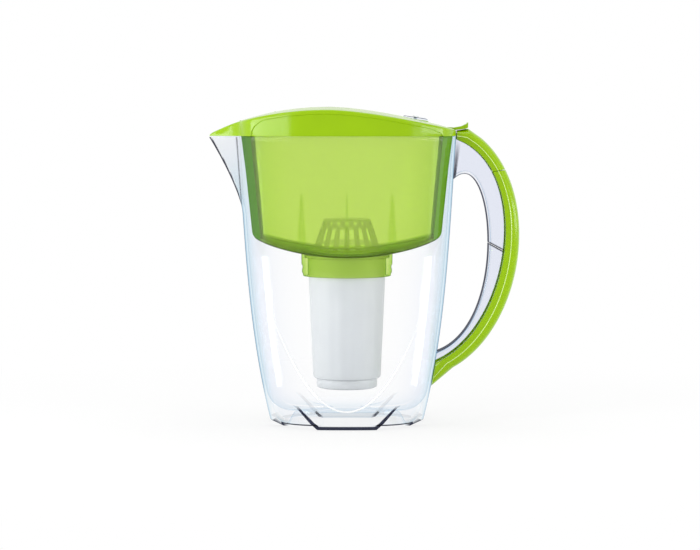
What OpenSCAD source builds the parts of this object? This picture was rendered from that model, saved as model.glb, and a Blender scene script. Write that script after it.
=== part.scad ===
// Water filter pitcher with a flip lid. Millimetres, +Z up.
// Origin: on the jug's upright axis, at the surface it stands on. +X points to the handle, -X to the spout.
// Every cross-section of the jug, funnel and lid is one family of soft-cornered ovals around that axis.

/* [Jug] */
// Height of the jug's rim above the table
jug_h = 245; // [225:1:265]
// Length of the rim from spout side to handle side, without the spout
rim_len = 185; // [172:1:200]
// Depth of the rim from front to back
rim_depth = 145; // [136:1:160]
// Length of the jug at the table
foot_len = 128; // [116:1:136]
// Wall of the jug
jug_wall = 2.4; // [1.8:0.1:3]
// Height of the inside floor above the table
floor_z = 13; // [11:0.5:16]
// Radius of the inside floor's edge
floor_round = 16; // [10:1:20]
// Squareness of the ovals: 2 is an ellipse, more is squarer
oval_power = 2.8; // [2.4:0.1:3]
// How much further out the side's curve aims above the foot
belly_out = 20.9; // [16:0.5:24]
// How far in the side's curve aims below the rim
shoulder_in = 5.6; // [3:0.2:8]

/* [Feet] */
// Half width of a front or back foot at the table
foot_half = 26; // [20:1:30]
// Half width of that foot where its edges end
foot_half_top = 44; // [36:1:48]
// Half width of a side foot at the table
side_foot_half = 20; // [16:1:24]
// Half width of a side foot where its edges end
side_foot_half_top = 31; // [26:1:34]
// Height at which the foot edges end
foot_edge_h = 21; // [16:1:26]
// How deep the corners between the feet are scooped at the table
scoop = 5; // [3:0.5:6]
// How high the corners between the feet are raised
corner_lift = 2.6; // [2:0.2:6]
// Width of the bevel under each side foot
side_bevel = 9; // [6:0.5:10]
// Height of the bevel round the feet
bevel_h = 5.4; // [4:0.2:7]

/* [Spout] */
// How far the spout's tip stands out from the rim
spout_len = 24.8; // [18:0.2:28]
// Height at which the spout leaves the wall
spout_root_z = 180; // [165:1:195]
// Half width of the spout at the rim
spout_half = 30; // [26:0.5:34]

/* [Handle] */
// Reach of the handle beyond the rim
handle_reach = 53.6; // [46:0.2:60]
// Width of the green grip
grip_w = 25; // [21:0.5:26]
// Width of the clear frame
frame_w = 20; // [16:0.5:21]
// Wall of the grip
grip_wall = 2.6; // [2:0.1:3]
// Wall of the clear frame
frame_wall = 2.4; // [1.8:0.1:3]
// Height of the finger gap's upper end below the rim
finger_drop = 36; // [30:1:42]
// Height of the finger gap's lower end above the table
finger_foot_z = 62.5; // [56:0.5:70]
// Height of the grip's tip above the table
grip_tip_z = 32.5; // [28:0.5:40]

/* [Funnel] */
// Wall of the funnel
funnel_wall = 2; // [1.6:0.1:2.6]
// Gap between the funnel and the jug's wall at the rim
funnel_gap = 0.6; // [0.4:0.1:1]
// How much more the funnel has drawn in than the jug's wall at its bottom edge
funnel_draft = 3.2; // [2.4:0.2:6]
// Lowest height of the funnel's bowed bottom, at the middle
funnel_low_z = 144.6; // [140:0.2:152]
// Rise of the bowed bottom at 71.5 mm from the middle
funnel_bow = 11.9; // [8:0.1:14]
// Thickness of the funnel's flange, which hangs on the jug's rim
flange_t = 1.6; // [1.2:0.1:2]
// How far the flange stands out of the funnel's wall
flange_out = 1.4; // [1.1:0.1:1.5]
// Width of the strip beside each panel at the rim
panel_margin = 12.5; // [10:0.5:16]
// How much a panel narrows on each side towards the bottom
panel_taper = 8; // [5:0.5:10]
// How far the front and back panels stand out of the ends
panel_step = 1.2; // [0.6:0.1:1.6]

/* [Filter seat] */
// Outside radius of the collar under the funnel
collar_r = 38; // [37:0.2:40]
// Bottom of the collar
collar_low_z = 126.5; // [122:0.5:130]
// Radius of the seat's upper socket
socket_r = 36.2; // [35.6:0.1:36.6]
// Height of the ledge that the seal lies on
seat_z = 142; // [138:0.5:143]
// Height of the guide ribs round the seat, above the funnel's lowest point
rib_h = 51; // [40:1:60]

/* [Filter cartridge] */
// Radius of the cartridge under the collar
cart_top_r = 32.5; // [31:0.1:33]
// Radius of the cartridge above its bottom step
cart_low_r = 28.8; // [27:0.1:30]
// Height of the cartridge's bottom above the table
cart_low_z = 31; // [26:0.5:36]
// Height of the bottom step
cart_step_z = 41; // [39:0.5:44]
// Radius of the outlet base
cart_base_r = 25.8; // [24:0.1:26.5]
// Wall of the cartridge
cart_wall = 1.6; // [1.2:0.1:2]
// Height of the strainer cap above its flange
cap_h = 28; // [22:0.5:32]
// Radius of the strainer cap at its foot
cap_foot_r = 29.5; // [28:0.1:30]
// Radius of the strainer cap at its top
cap_top_r = 20.3; // [17:0.1:23]
// Number of windows in each row of the strainer
cap_windows = 18; // [12:1:20]

/* [Lid] */
// Crown's highest point above the rim
crown_h = 25; // [20:0.5:30]
// Place of the crown's highest point along the jug
crown_x = -15; // [-25:1:-5]
// Height of the lid above the rim at the spout's tip
lid_tip_h = 2; // [1.9:0.1:3]
// Height of the lid above the rim at the handle
lid_end_h = 6.4; // [6:0.1:7.5]
// Fall of the top from the middle to the front and back edges
cross_fall = 3.2; // [2:0.2:6]
// Wall of the lid
lid_wall = 2.2; // [1.8:0.1:2.8]
// Roundness of the edge between the lid's top and skirt
lid_round = 1.6; // [1.2:0.1:3]

/* [Flip lid] */
// Place of the hinge pin along the jug
hatch_pin_x = -60; // [-66:0.5:-54]
// Place of the flip lid's end near the handle
hatch_end_x = 84; // [80:0.5:86]
// Half width of the flip lid
hatch_half = 40; // [34:0.5:46]
// Gap round the flip lid
hatch_gap = 0.5; // [0.4:0.05:0.8]
// Radius of the hinge barrel
barrel_r = 2.5; // [2.3:0.1:2.7]
// Radius of both hinge pins
pin_r = 1.2; // [1:0.05:1.3]
// Running clearance of a pin in its hole, on the radius
pin_clear = 0.05; // [0.03:0.01:0.08]
// Half length of the flip lid's hinge barrel
barrel_half = 16; // [12:0.5:18]
// Half width of the thumb tab
tab_half = 10; // [8:0.5:10.5]
// Height of the thumb tab's edge above the rim
tab_h = 12; // [10:0.5:14]
// How far the thumb tab reaches beyond the rim
tab_reach = 9.9; // [8:0.1:11]

/* [Spout cover] */
// Place of the spout cover's pin along the jug
flap_pin_x = -86.4; // [-88:0.2:-85]
// Half length of its barrel
flap_barrel_half = 6; // [5:0.5:7]
// Radius of its barrel
flap_barrel_r = 2.2; // [2.1:0.1:2.4]
// Half width of the spout cover at the spout's edge
flap_half = 16.6; // [15.6:0.2:18]
// How far its seam curves forward from the hinge to the spout's edge
flap_seam_out = 6.2; // [5:0.2:6.4]

/* [Dial] */
// Place of the dial's middle along the jug
dial_x = 58; // [54:0.5:60]
// Radius of the turning cover
dial_r = 10.5; // [9:0.1:11]
// Height of the turning cover
dial_h = 2.6; // [2:0.1:4]
// Tilt of the dial towards the handle, in degrees
dial_tilt = 9; // [6:0.5:12]

/* [Hidden] */
$fn = 64;

seat_gap = 0.3;                // between a piece and what it rests on
touch = 0.4;                   // between the handle and the jug's curved wall
rim_hl = rim_len / 2;
rim_hd = rim_depth / 2;
foot_hl = foot_len / 2;
depth_share = rim_depth / rim_len;
curve_low = 80;                // height that the side's lower curve aims at
curve_high = 80;               // drop below the rim that the upper curve aims at
corner_gap = 0.8;              // degrees between the two lines of a foot's or panel's edge

clear_colour = [0.82, 0.90, 0.94, 0.4];
green = [0.56, 0.76, 0.03];
funnel_green = [0.62, 0.80, 0.22, 0.7];
filter_white = [0.88, 0.90, 0.91];

// ---------- curves and skins ----------

function bez(p, t) = (1 - t)^3 * p[0] + 3 * (1 - t)^2 * t * p[1] + 3 * (1 - t) * t^2 * p[2] + t^3 * p[3];
function mix(a, b, t) = a + (b - a) * t;
function flip(list) = [for (i = [len(list) - 1:-1:0]) list[i]];

// The jug's side: half length and height along one curve from the foot to the rim.
side_hl = [foot_hl, foot_hl + belly_out, rim_hl - shoulder_in, rim_hl];
side_z = [0, curve_low, jug_h - curve_high, jug_h];
function side_t(z, lo = 0, hi = 1, left = 22) =
    left == 0 ? (lo + hi) / 2
    : bez(side_z, (lo + hi) / 2) < z ? side_t(z, (lo + hi) / 2, hi, left - 1)
    : side_t(z, lo, (lo + hi) / 2, left - 1);
function wall_hl(z) = bez(side_hl, side_t(min(z, jug_h)));
function wall_hd(z) = wall_hl(z) * depth_share;

// A point of an oval with half axes a and b, and the angles at which it has a given x or y.
function oval_point(a, b, phi) = [a * abs(cos(phi))^(2 / oval_power), b * abs(sin(phi))^(2 / oval_power)];
function phi_at_y(y, b) = asin(min(1, y / b)^(oval_power / 2));
function phi_at_x(x, a) = acos(min(1, x / a)^(oval_power / 2));

// Joins rings of equal length into a closed skin with flat ends.
module skin(rings) {
    n = len(rings[0]);
    m = len(rings);
    sides = [for (i = [0:m - 2], j = [0:n - 1]) let (a = i * n + j, b = i * n + (j + 1) % n)
        each [[a, b + n, b], [a, a + n, b + n]]];
    polyhedron([for (r = rings) each r],
        concat(sides, [[for (j = [0:n - 1]) j]], [flip([for (j = [0:n - 1]) (m - 1) * n + j])]));
}

// The same, but the last ring joins the first, for a piece that runs all the way round.
module ring_skin(sections) {
    n = len(sections[0]);
    m = len(sections);
    faces = [for (i = [0:m - 1], j = [0:n - 1])
        let (a = i * n + j, b = i * n + (j + 1) % n, c = (i + 1) % m * n + j,
            d = (i + 1) % m * n + (j + 1) % n)
        each [[a, b, d], [a, d, c]]];
    polyhedron([for (s = sections) each s], faces);
}

// Four mirrored quarters make a ring. handle_q and spout_q hold [phi, mark] pairs from 0 to 90 degrees, and
// the ring's stations add the signs of x and y, so that a piece can turn each one into a point.
function stations(handle_q, spout_q) = concat(
    [for (s = handle_q) [s[0], s[1], 1, 1]],
    [for (i = [len(spout_q) - 2:-1:0]) [spout_q[i][0], spout_q[i][1], -1, 1]],
    [for (i = [1:len(spout_q) - 1]) [spout_q[i][0], spout_q[i][1], -1, -1]],
    [for (i = [len(handle_q) - 2:-1:handle_q[0][0] == 0 ? 1 : 0]) [handle_q[i][0], handle_q[i][1], 1, -1]]);

// ---------- jug ----------

land_half = 11;                // half width of the flat strip that the handle stands on
spout_share = spout_half / rim_hd;
spout_phi = phi_at_y(spout_share, 1);

function foot_rise(z) = min(1, max(0, z) / foot_edge_h);
function side_phi(z) = phi_at_y(mix(side_foot_half, side_foot_half_top, foot_rise(z)),
    wall_hd(min(z, foot_edge_h)));
function front_phi(z) = phi_at_x(mix(foot_half, foot_half_top, foot_rise(z)), wall_hl(min(z, foot_edge_h)));

// Stations of a quarter: side foot, scooped corner (mark 1), front foot (mark 2).
function quarter(z, start) =
    let (s = side_phi(z), f = front_phi(z), inner = s + corner_gap, outer = f - corner_gap)
    concat(start, [[mix(start[len(start) - 1][0], s, 0.5), 0], [s, 0]],
        [for (k = [0:4]) [mix(inner, outer, k / 4), 1]],
        [for (k = [0:4]) [mix(f, 90, k / 4), 2]]);

function spout_out(z) = spout_len * max(0, (z - spout_root_z) / (jug_h - spout_root_z))^1.4;
beak_power = 1.5;              // more makes the spout's flanks hollower
function beak(share) = max(0, 1 - share)^beak_power;

function jug_ring(z, inset = 0, underside = false) =
    let (a = wall_hl(z), b = wall_hd(z),
        start_h = [[phi_at_y(land_half, b), 0]],
        start_s = [for (k = [0:4]) [spout_phi * k / 4, 0]],
        dip = 1 - foot_rise(z))
    [for (s = stations(quarter(z, start_h), quarter(z, start_s)))
        let (bevel = (1 - min(1, z / bevel_h)) * (s[1] == 0 ? side_bevel : side_bevel / 3),
            cut = underside ? inset : inset + bevel + (s[1] == 1 ? scoop * dip : 0),
            p = oval_point(a - cut, b - cut, s[0]),
            out = s[2] < 0 ? spout_out(z) * beak(p[1] / (spout_share * b)) : 0)
        [s[2] * (p[0] + out), s[3] * p[1], z + (s[1] == 1 ? corner_lift * dip : 0)]];

foot_land = 4.5;               // width of the strip that each foot stands on
pocket_top = floor_z - 4;      // top of the hollow under the floor
plain_low_z = foot_edge_h + 13;   // the wall is a plain oval from here up to the spout
wall_levels = concat([0, bevel_h, (bevel_h + foot_edge_h) / 2, foot_edge_h],
    [for (k = [0:6]) mix(plain_low_z, spout_root_z, k / 7)],
    [for (k = [0:6]) mix(spout_root_z, jug_h, k / 6)]);
high_levels = [for (z = wall_levels) if (z > floor_z + floor_round) z];

module jug_body() {
    outside = [for (z = wall_levels) jug_ring(z)];
    inside = [for (z = flip(high_levels)) jug_ring(z, jug_wall)];
    bowl = [for (k = [0:4]) let (turn = k * 90 / 4)
        jug_ring(floor_z + floor_round * (1 - sin(turn)), jug_wall + floor_round * (1 - cos(turn)), true)];
    middle = foot_hl * depth_share - 4;
    floor_centre = jug_ring(floor_z, middle, true);
    pocket = [for (cut = [middle, side_bevel + foot_land + 5])
        [for (p = jug_ring(0, cut, true)) [p[0], p[1], pocket_top]]];
    standing = [for (p = jug_ring(0, side_bevel + foot_land, true)) p];
    color(clear_colour)
        skin(concat(pocket, [standing], outside, inside, bowl, [floor_centre]));
}

// ---------- handle ----------

// Each edge of the handle is one curve in the plane y = 0, from its upper end to its lower end.
// A curve's two middle points are the ones that it aims at, given from the grip's reach and from the rim or table.
grip_x = rim_hl + handle_reach;
cap_in = 43.2;                 // the cap's back begins this far inside the reach
cap_rise = 6.4;                // and this far above the rim
cap_foot_rise = 5;             // the cap's end on the wall is this far above the rim
tip_in = 60.3;                 // the grip's back ends this far inside the reach
tip_rise = 13.2;               // and this far above the tip
inner_drop = 2.6;              // the grip's open side begins this far below the rim
inner_foot_drop = 9.2;         // and ends this far below the finger gap
back_aim = [25.2, -33.2];
back_low_aim = [8.6, 78.2];
inner_aim = [12.5, -27];
inner_low_aim = [-5, 81.7];
finger_aim = [-21.8, -4.2];
finger_low_aim = [-6.7, 85.8];
function from_rim(aim) = [grip_x + aim[0], jug_h + aim[1]];
function from_table(aim) = [grip_x + aim[0], aim[1]];
function on_wall(z) = [wall_hl(z) + touch, z];
grip_outer = [[grip_x - cap_in, jug_h + cap_rise], from_rim(back_aim), from_table(back_low_aim),
    [grip_x - tip_in, grip_tip_z + tip_rise]];
grip_inner = [on_wall(jug_h - inner_drop), from_rim(inner_aim), from_table(inner_low_aim),
    on_wall(finger_foot_z - inner_foot_drop)];
finger_edge = [on_wall(jug_h - finger_drop), from_rim(finger_aim), from_table(finger_low_aim),
    on_wall(finger_foot_z)];
cap_seam = 0.205;              // where the cap ends and the grip begins, along the curves
frame_seam = 0.507;            // where the upper frame ends and the lower frame begins
seam_gap = 0.0015;             // half the gap at each seam, along the curves

// A channel: its web follows web_edge and its open side faces open_edge. Each row is [web point, open point].
module channel(rows, half, web, flank, round) {
    rings = [for (r = rows) let (w = r[0], o = r[1], d = (o - w) / norm(o - w))
        [for (q = [[norm(o - w), half], [round, half], [round * 0.3, half - round * 0.3], [0, half - round],
                [0, round - half], [round * 0.3, round * 0.3 - half], [round, -half], [norm(o - w), -half],
                [norm(o - w), flank - half], [web, flank - half], [web, half - flank],
                [norm(o - w), half - flank]])
            let (p = w + d * q[0]) [p[0], q[1], p[1]]]];
    n = 12;
    last = (len(rings) - 1) * n;
    end = [[0, 1, 10, 11], [1, 2, 10], [2, 3, 10], [3, 4, 9, 10], [4, 5, 9], [5, 6, 9], [6, 7, 8, 9]];
    sides = [for (i = [0:len(rings) - 2], j = [0:n - 1]) let (a = i * n + j, b = i * n + (j + 1) % n)
        each [[a, a + n, b + n], [a, b + n, b]]];
    polyhedron([for (r = rings) each r],
        concat(sides, end, [for (f = end) flip([for (v = f) v + last])]));
}

function frame_rows(from, to, steps) = [for (k = [0:steps]) let (u = mix(from, to, k / steps),
    f = bez(finger_edge, u), g = bez(grip_inner, u)) [f, g - (g - f) / norm(g - f) * seat_gap]];
function grip_rows(from, to, steps) = [for (k = [0:steps]) let (u = mix(from, to, k / steps))
    [bez(grip_outer, u), bez(grip_inner, u)]];

module handle_frame_upper()
    color(clear_colour)
        channel(frame_rows(0, frame_seam - seam_gap, 16), frame_w / 2, frame_wall, frame_wall, 3);

module handle_frame_lower()
    color(clear_colour)
        channel(frame_rows(frame_seam + seam_gap, 1, 16), frame_w / 2, frame_wall, frame_wall, 3);

module handle_cap()
    color(green)
        channel(concat([[[rim_hl + touch, jug_h + cap_foot_rise], grip_inner[0]],
                [grip_outer[0], bez(grip_inner, 0.04)]],
            grip_rows(0.06, cap_seam - seam_gap, 7)), grip_w / 2, grip_wall, grip_wall, 3.4);

module handle_grip()
    color(green)
        channel(concat(grip_rows(cap_seam + seam_gap, 0.975, 22),
            [[on_wall(grip_tip_z), grip_inner[3]]]),
            grip_w / 2, grip_wall, grip_wall, 3.4);

// ---------- funnel ----------

funnel_top_z = jug_h + seat_gap;
function funnel_low(x) = funnel_low_z + funnel_bow * (x / 71.5)^2;
panel_top = rim_hl - panel_margin;   // half width of a panel at the rim and at the bottom
panel_foot = panel_top - panel_taper;
funnel_fit = jug_wall + funnel_gap;  // how far the funnel's wall lies inside the jug's outer face
wall_in = rim_hl - wall_hl(funnel_low_z + funnel_bow);   // how much the jug has drawn in there

// Share 0 is the rim and 1 the bottom edge. inset moves the wall inwards.
function funnel_ring(share, inset, z = undef) =
    let (a = rim_hl - funnel_fit - inset - share * (wall_in + funnel_draft),
        b = rim_hd - funnel_fit - inset - share * (wall_in * depth_share + funnel_draft),
        edge = phi_at_x(mix(panel_top, panel_foot, share), a + inset),
        ends = [for (k = [0:4]) [(edge - corner_gap) * k / 4, 1]],
        q = concat(ends, [for (k = [0:6]) [mix(edge, 90, k / 6), 0]]))
    [for (s = stations(q, q))
        let (cut = s[1] == 1 ? panel_step * min(1, share * 3) : 0,
            p = oval_point(a - cut / 2, b - cut, s[0]))
        [s[2] * p[0], s[3] * p[1], is_undef(z) ? mix(funnel_top_z, funnel_low(p[0]), share) : z]];

// The bowed bottom, between its edge (reach 0) and the collar's hole (reach 1).
function funnel_floor(inset, reach, lift) =
    [for (p = funnel_ring(1, inset)) let (hole = [p[0], p[1]] / norm([p[0], p[1]]) * (collar_r - 1.4),
        x = mix(p[0], hole[0], reach), y = mix(p[1], hole[1], reach)) [x, y, funnel_low(x) + lift]];

module seat_rib(angle)
    rotate([0, 0, angle]) translate([collar_r + 6.5, 0.8, 0]) rotate([90, 0, 0])
        linear_extrude(height = 1.6)
            polygon([[-4.5, funnel_low_z + 1.5], [4.5, funnel_low_z + 4], [0.6, funnel_low_z + rib_h],
                [-0.6, funnel_low_z + rib_h]]);

ledge_r = cart_top_r + 0.9;    // hole through the collar, which the cartridge passes
collar_top_z = funnel_low_z + 5.4;

module collar()
    rotate_extrude()
        polygon([[ledge_r, collar_low_z], [collar_r - 0.6, collar_low_z],
            [collar_r - 0.4, collar_low_z + 2.5], [collar_r + 0.3, collar_low_z + 2.9],
            [collar_r + 0.3, collar_low_z + 6.1],
            [collar_r - 0.2, collar_low_z + 6.5], [collar_r, collar_low_z + 9.1],
            [collar_r + 0.7, collar_low_z + 9.7], [collar_r + 0.9, collar_top_z - 1],
            [collar_r, collar_top_z], [socket_r, collar_top_z], [socket_r, seat_z], [ledge_r, seat_z]]);

module hopper() color(funnel_green) {
    outside = concat([for (z = [funnel_top_z + flange_t, funnel_top_z]) funnel_ring(0, -flange_out, z)],
        [funnel_ring(0, 0, funnel_top_z)],
        [for (share = [0.12, 0.35, 0.6, 0.8, 0.93]) funnel_ring(share, 0)],
        [funnel_ring(0.985, 1.6)], [for (reach = [0, 0.5, 1]) funnel_floor(5, reach, 0)]);
    inside = concat([for (reach = [1, 0.5, 0]) funnel_floor(5 + funnel_wall, reach, funnel_wall)],
        [for (share = [0.93, 0.8, 0.6, 0.35, 0.12]) funnel_ring(share, funnel_wall)],
        [funnel_ring(0, funnel_wall, funnel_top_z + flange_t)]);
    ring_skin(concat(outside, inside));
    collar();
    for (angle = [30:60:330]) seat_rib(angle);
}

// ---------- filter cartridge ----------

seal_h = 2;
flange_z = seat_z + seal_h + 2 * seat_gap;   // underside of the cartridge's flange
cap_z = flange_z + 2.4;                      // top of that flange, where the cap sits
body_in_r = cart_top_r - cart_wall;
low_in_r = cart_low_r - cart_wall;
base_top_z = cart_step_z - 1.6;
felt_h = 2.5;
screen_h = 0.8;
bed_low_z = cart_step_z + felt_h + 0.2;
bed_top_z = cap_z - screen_h - 0.4;

module cartridge_body()
    color(filter_white)
        rotate_extrude()
            polygon([[cart_base_r - 2, cart_step_z - cart_wall], [cart_low_r - 1.2, cart_step_z - cart_wall],
                [cart_low_r, cart_step_z], [cart_top_r, collar_low_z - 4.5], [cart_top_r, flange_z],
                [socket_r - 0.4, flange_z], [socket_r - 0.4, cap_z], [body_in_r, cap_z],
                [body_in_r, collar_low_z - 4.5], [low_in_r, cart_step_z], [cart_base_r - 2, cart_step_z]]);

module cartridge_seal()
    color("dimgray")
        rotate_extrude()
            translate([(ledge_r + socket_r) / 2 + 0.1, seat_z + seat_gap + seal_h / 2])
                intersection() {
                    circle(r = seal_h / 2 + 0.15, $fn = 24);
                    square([seal_h, seal_h], center = true);
                }

module cap_window(angle, z, width, height)
    rotate([0, 0, angle]) translate([cap_top_r - 8, -width / 2, z]) cube([20, width, height]);

module cartridge_cap()
    color(filter_white)
        difference() {
            rotate_extrude()
                polygon([[body_in_r - 3, cap_z], [cap_foot_r + 2.4, cap_z],
                    [cap_foot_r + 2.4, cap_z + cart_wall], [cap_foot_r, cap_z + cart_wall],
                    [cap_top_r, cap_z + cap_h - 1], [cap_top_r - 1, cap_z + cap_h], [0, cap_z + cap_h],
                    [0, cap_z + cap_h - cart_wall], [cap_top_r - 1.8, cap_z + cap_h - cart_wall],
                    [cap_foot_r - cart_wall, cap_z + cart_wall]]);
            for (k = [0:cap_windows - 1]) {
                cap_window(k * 360 / cap_windows, cap_z + 2.6, 4.6, 4.6);
                cap_window(k * 360 / cap_windows, cap_z + 9, 4.6, 11);
                cap_window((k + 0.5) * 360 / cap_windows, cap_z + cap_h - 4.4, 3.2, 2.4);
            }
        }

module cartridge_base()
    color(filter_white)
        difference() {
            rotate_extrude()
                polygon([[0, cart_low_z], [cart_base_r - 2.4, cart_low_z],
                    [cart_base_r - 0.6, cart_low_z + 0.8], [cart_base_r, cart_low_z + 2.4],
                    [cart_base_r, base_top_z], [cart_base_r - 1.8, base_top_z],
                    [cart_base_r - 1.8, cart_low_z + 2], [0, cart_low_z + 2]]);
            for (k = [0:11]) rotate([0, 0, k * 30]) translate([7, -1, cart_low_z - 1]) cube([13, 2, 4]);
        }

module inlet_screen()
    color("silver") translate([0, 0, cap_z - screen_h]) cylinder(r = body_in_r - 0.1, h = screen_h);

module carbon_bed()
    color([0.18, 0.18, 0.19])
        rotate_extrude()
            polygon([[0, bed_low_z], [low_in_r - 0.3, bed_low_z], [body_in_r - 0.3, collar_low_z - 4.5],
                [body_in_r - 0.3, bed_top_z], [0, bed_top_z]]);

module outlet_felt()
    color("whitesmoke") translate([0, 0, cart_step_z]) cylinder(r = low_in_r - 0.2, h = felt_h);

// ---------- lid ----------

lid_low_z = jug_h + seat_gap;
lid_step_z = lid_low_z + flange_t + seat_gap;       // the lid's skirt rests on the funnel's flange here
lid_lip = 0.9;                                      // the skirt is this thick below that, round the flange
crown_z = jug_h + crown_h;
lid_hl = rim_hl - 0.3;
lid_hd = rim_hd - 0.3;
part_gap = 0.6;                                     // between the lid and the spout cover
crown_bend_front = 2.1;                             // more keeps the crown flat for longer towards the spout
crown_bend_back = 1.6;                              // and the same towards the handle
crown_end_x = rim_hl - 2.5;                         // here the crown has come down to the lid's end
function crown(x) = x < crown_x
    ? crown_z - (crown_h - lid_tip_h) * ((crown_x - x) / (rim_hl + spout_len + crown_x))^crown_bend_front
    : crown_z - (crown_h - lid_end_h) * ((x - crown_x) / (crown_end_x - crown_x))^crown_bend_back;
function lid_top(x, y) = crown(x) - cross_fall * (y / rim_hd)^2;

hinge_gap = 1.4;                                    // gap at the hinged end, so that the flip lid can swing
hatch_start_x = hatch_pin_x + hinge_gap + 1;
hatch_mid_x = (hatch_start_x + hatch_end_x) / 2;
hatch_hl = (hatch_end_x - hatch_start_x) / 2;
hatch_power = 3;                                    // squareness of the flip lid's outline
// Half width of the lid's opening next to a point of its outer edge, and the opening's reach there.
straight = flap_half + part_gap + 0.1;              // up to here the lid's cuts run straight along the jug
function opening_y(y) = y <= straight ? y
    : mix(straight, hatch_half + hatch_gap, ((y - straight) / (lid_hd - straight))^0.6);
function opening_x(y, gap) = (hatch_hl + gap)
    * max(0, 1 - (y / (hatch_half + hatch_gap))^hatch_power)^(1 / hatch_power);

hatch_pin_z = lid_top(hatch_pin_x, 0) - barrel_r;
tab_low_z = jug_h + lid_end_h - 1;                  // underside of the thumb tab's tongue at the rim
tab_recess_z = tab_low_z - 0.5;

// The spout cover's hinge, and the seam that curves forward from it to the spout's edge.
ear_gap = 0.4;
ear_w = 3;
flap_pin_z = lid_top(flap_pin_x, 0) - flap_barrel_r;
flap_hinge_half = flap_barrel_half + ear_gap + ear_w + 0.5;
flap_start_x = flap_pin_x - flap_barrel_r - part_gap;
flap_recess_z = flap_pin_z - flap_barrel_r - 1.1;   // the lid's step under the spout cover
function flap_back(y) = flap_start_x
    - flap_seam_out * (max(0, abs(y) - flap_hinge_half) / (flap_half - flap_hinge_half))^1.6;
function lid_front(y) = part_gap + (abs(y) <= flap_hinge_half ? flap_pin_x + flap_barrel_r : flap_back(y));
function spout_edge_x(y) = -lid_hl * (1 - (abs(y) / lid_hd)^oval_power)^(1 / oval_power)
    - spout_len * beak(abs(y) / spout_half);

// Marks: 1 is low, for the spout cover in front and the thumb tab behind, and 2 follows the spout's edge.
function lid_section(s) =
    let (sx = s[2], sy = s[3], phi = s[0],
        o = oval_point(lid_hl, lid_hd, phi), in_y = opening_y(o[1]),
        inner = [hatch_mid_x + sx * opening_x(in_y, sx < 0 ? hinge_gap : hatch_gap), sy * in_y],
        outer = [s[1] == 2 ? spout_edge_x(o[1]) : sx * o[0], sy * o[1]],
        covered = sx < 0 && s[1] == 1,
        most = sx > 0 && s[1] == 1 ? tab_recess_z : crown_z,
        top = function (p, drop, wall = 0) [p[0], p[1], min(most, lid_top(p[0], p[1]) - drop) - wall],
        in_by = function (wall, z) let (p = outer * (1 - wall / norm(outer))) [p[0], p[1], z],
        edge = [lid_front(outer[1]), outer[1]],
        back = [edge[0] + lid_wall, edge[1]],
        foot = [[outer[0], outer[1], lid_low_z], in_by(lid_lip, lid_low_z), in_by(lid_lip, lid_step_z),
            in_by(lid_wall, lid_step_z)])
    covered
    ? concat([top(inner, 0), top(mix(inner, edge, 0.5), 0), top(edge, 0), [edge[0], edge[1], flap_recess_z],
            [outer[0], outer[1], flap_recess_z]], foot,
        [in_by(lid_wall, flap_recess_z - lid_wall), [back[0], back[1], flap_recess_z - lid_wall],
            top(back, 0, lid_wall), top(inner, 0, lid_wall)])
    : concat([top(inner, 0), top(mix(inner, outer, 0.5), 0), top(mix(inner, outer, 0.86), 0),
            top(mix(inner, outer, 0.965), lid_round * 0.3), top(outer, lid_round)], foot,
        [top(in_by(lid_wall, 0), lid_round * 0.6, lid_wall), top(mix(inner, outer, 0.86), 0.3, lid_wall),
            top(mix(inner, outer, 0.5), 0, lid_wall), top(inner, 0, lid_wall)]);

hatch_pin_half = barrel_half + ear_gap + ear_w + 1;
flap_pin_half = flap_barrel_half + ear_gap + ear_w;

// A pair of ears beside a barrel, between two heights, which the pin's bore then goes through.
module hinge_ears(x, from, to, half, low_z, high_z)
    for (side = [-1, 1])
        translate([x - half, side * (from + to) / 2 - (to - from) / 2, low_z])
            cube([2 * half, to - from, high_z - low_z]);

module pin_bore(x, z, half)
    translate([x, 0, z]) rotate([90, 0, 0]) cylinder(r = pin_r + pin_clear, h = 2 * half, center = true);

module lid_frame() color(green) {
    tab_edge = phi_at_y(tab_half + 1.4, lid_hd);
    wing_edge = phi_at_y(spout_half, lid_hd);
    wide = flap_half + part_gap;
    rest = [for (k = [1:14]) mix(4, 90, k / 14)];
    handle_q = concat([[0, 1], [tab_edge, 1], [tab_edge + corner_gap, 0]],
        [for (phi = rest) if (phi > tab_edge + 3) [phi, 0]]);
    covered = [0, flap_hinge_half / 2, flap_hinge_half, flap_hinge_half + 0.1,
        mix(flap_hinge_half, wide, 0.4), mix(flap_hinge_half, wide, 0.75), wide];
    spout_q = concat([for (y = covered) [phi_at_y(y, lid_hd), 1]],
        [for (k = [0:5]) [phi_at_y(mix(wide + 0.1, spout_half, k / 5), lid_hd), 2]],
        [for (phi = rest) if (phi > wing_edge + 2) [phi, 0]]);
    all_round = stations(handle_q, spout_q);
    difference() {
        union() {
            ring_skin([for (s = flip(all_round)) lid_section(s)]);
            hinge_ears(hatch_pin_x, barrel_half, hatch_pin_half + 1.2, barrel_r - 0.1, hatch_pin_z - barrel_r,
                hatch_pin_z + 1.6);
            hinge_ears(flap_pin_x, flap_barrel_half + ear_gap, flap_pin_half, flap_barrel_r - 0.2,
                flap_recess_z - 1, flap_pin_z + flap_barrel_r - 0.4);
        }
        pin_bore(hatch_pin_x, hatch_pin_z, hatch_pin_half + 0.3);
        pin_bore(flap_pin_x, flap_pin_z, flap_pin_half + 0.3);
        translate([hatch_pin_x - barrel_r - hinge_gap, -barrel_half - ear_gap, hatch_pin_z - barrel_r - 1])
            cube([2 * barrel_r + 4, 2 * (barrel_half + ear_gap), 4 * barrel_r]);
    }
}

module cross_pin(x, z, half)
    color("gainsboro")
        translate([x, 0, z]) rotate([90, 0, 0]) cylinder(r = pin_r, h = 2 * half, center = true);

module hatch_pin() cross_pin(hatch_pin_x, hatch_pin_z, hatch_pin_half);

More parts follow.
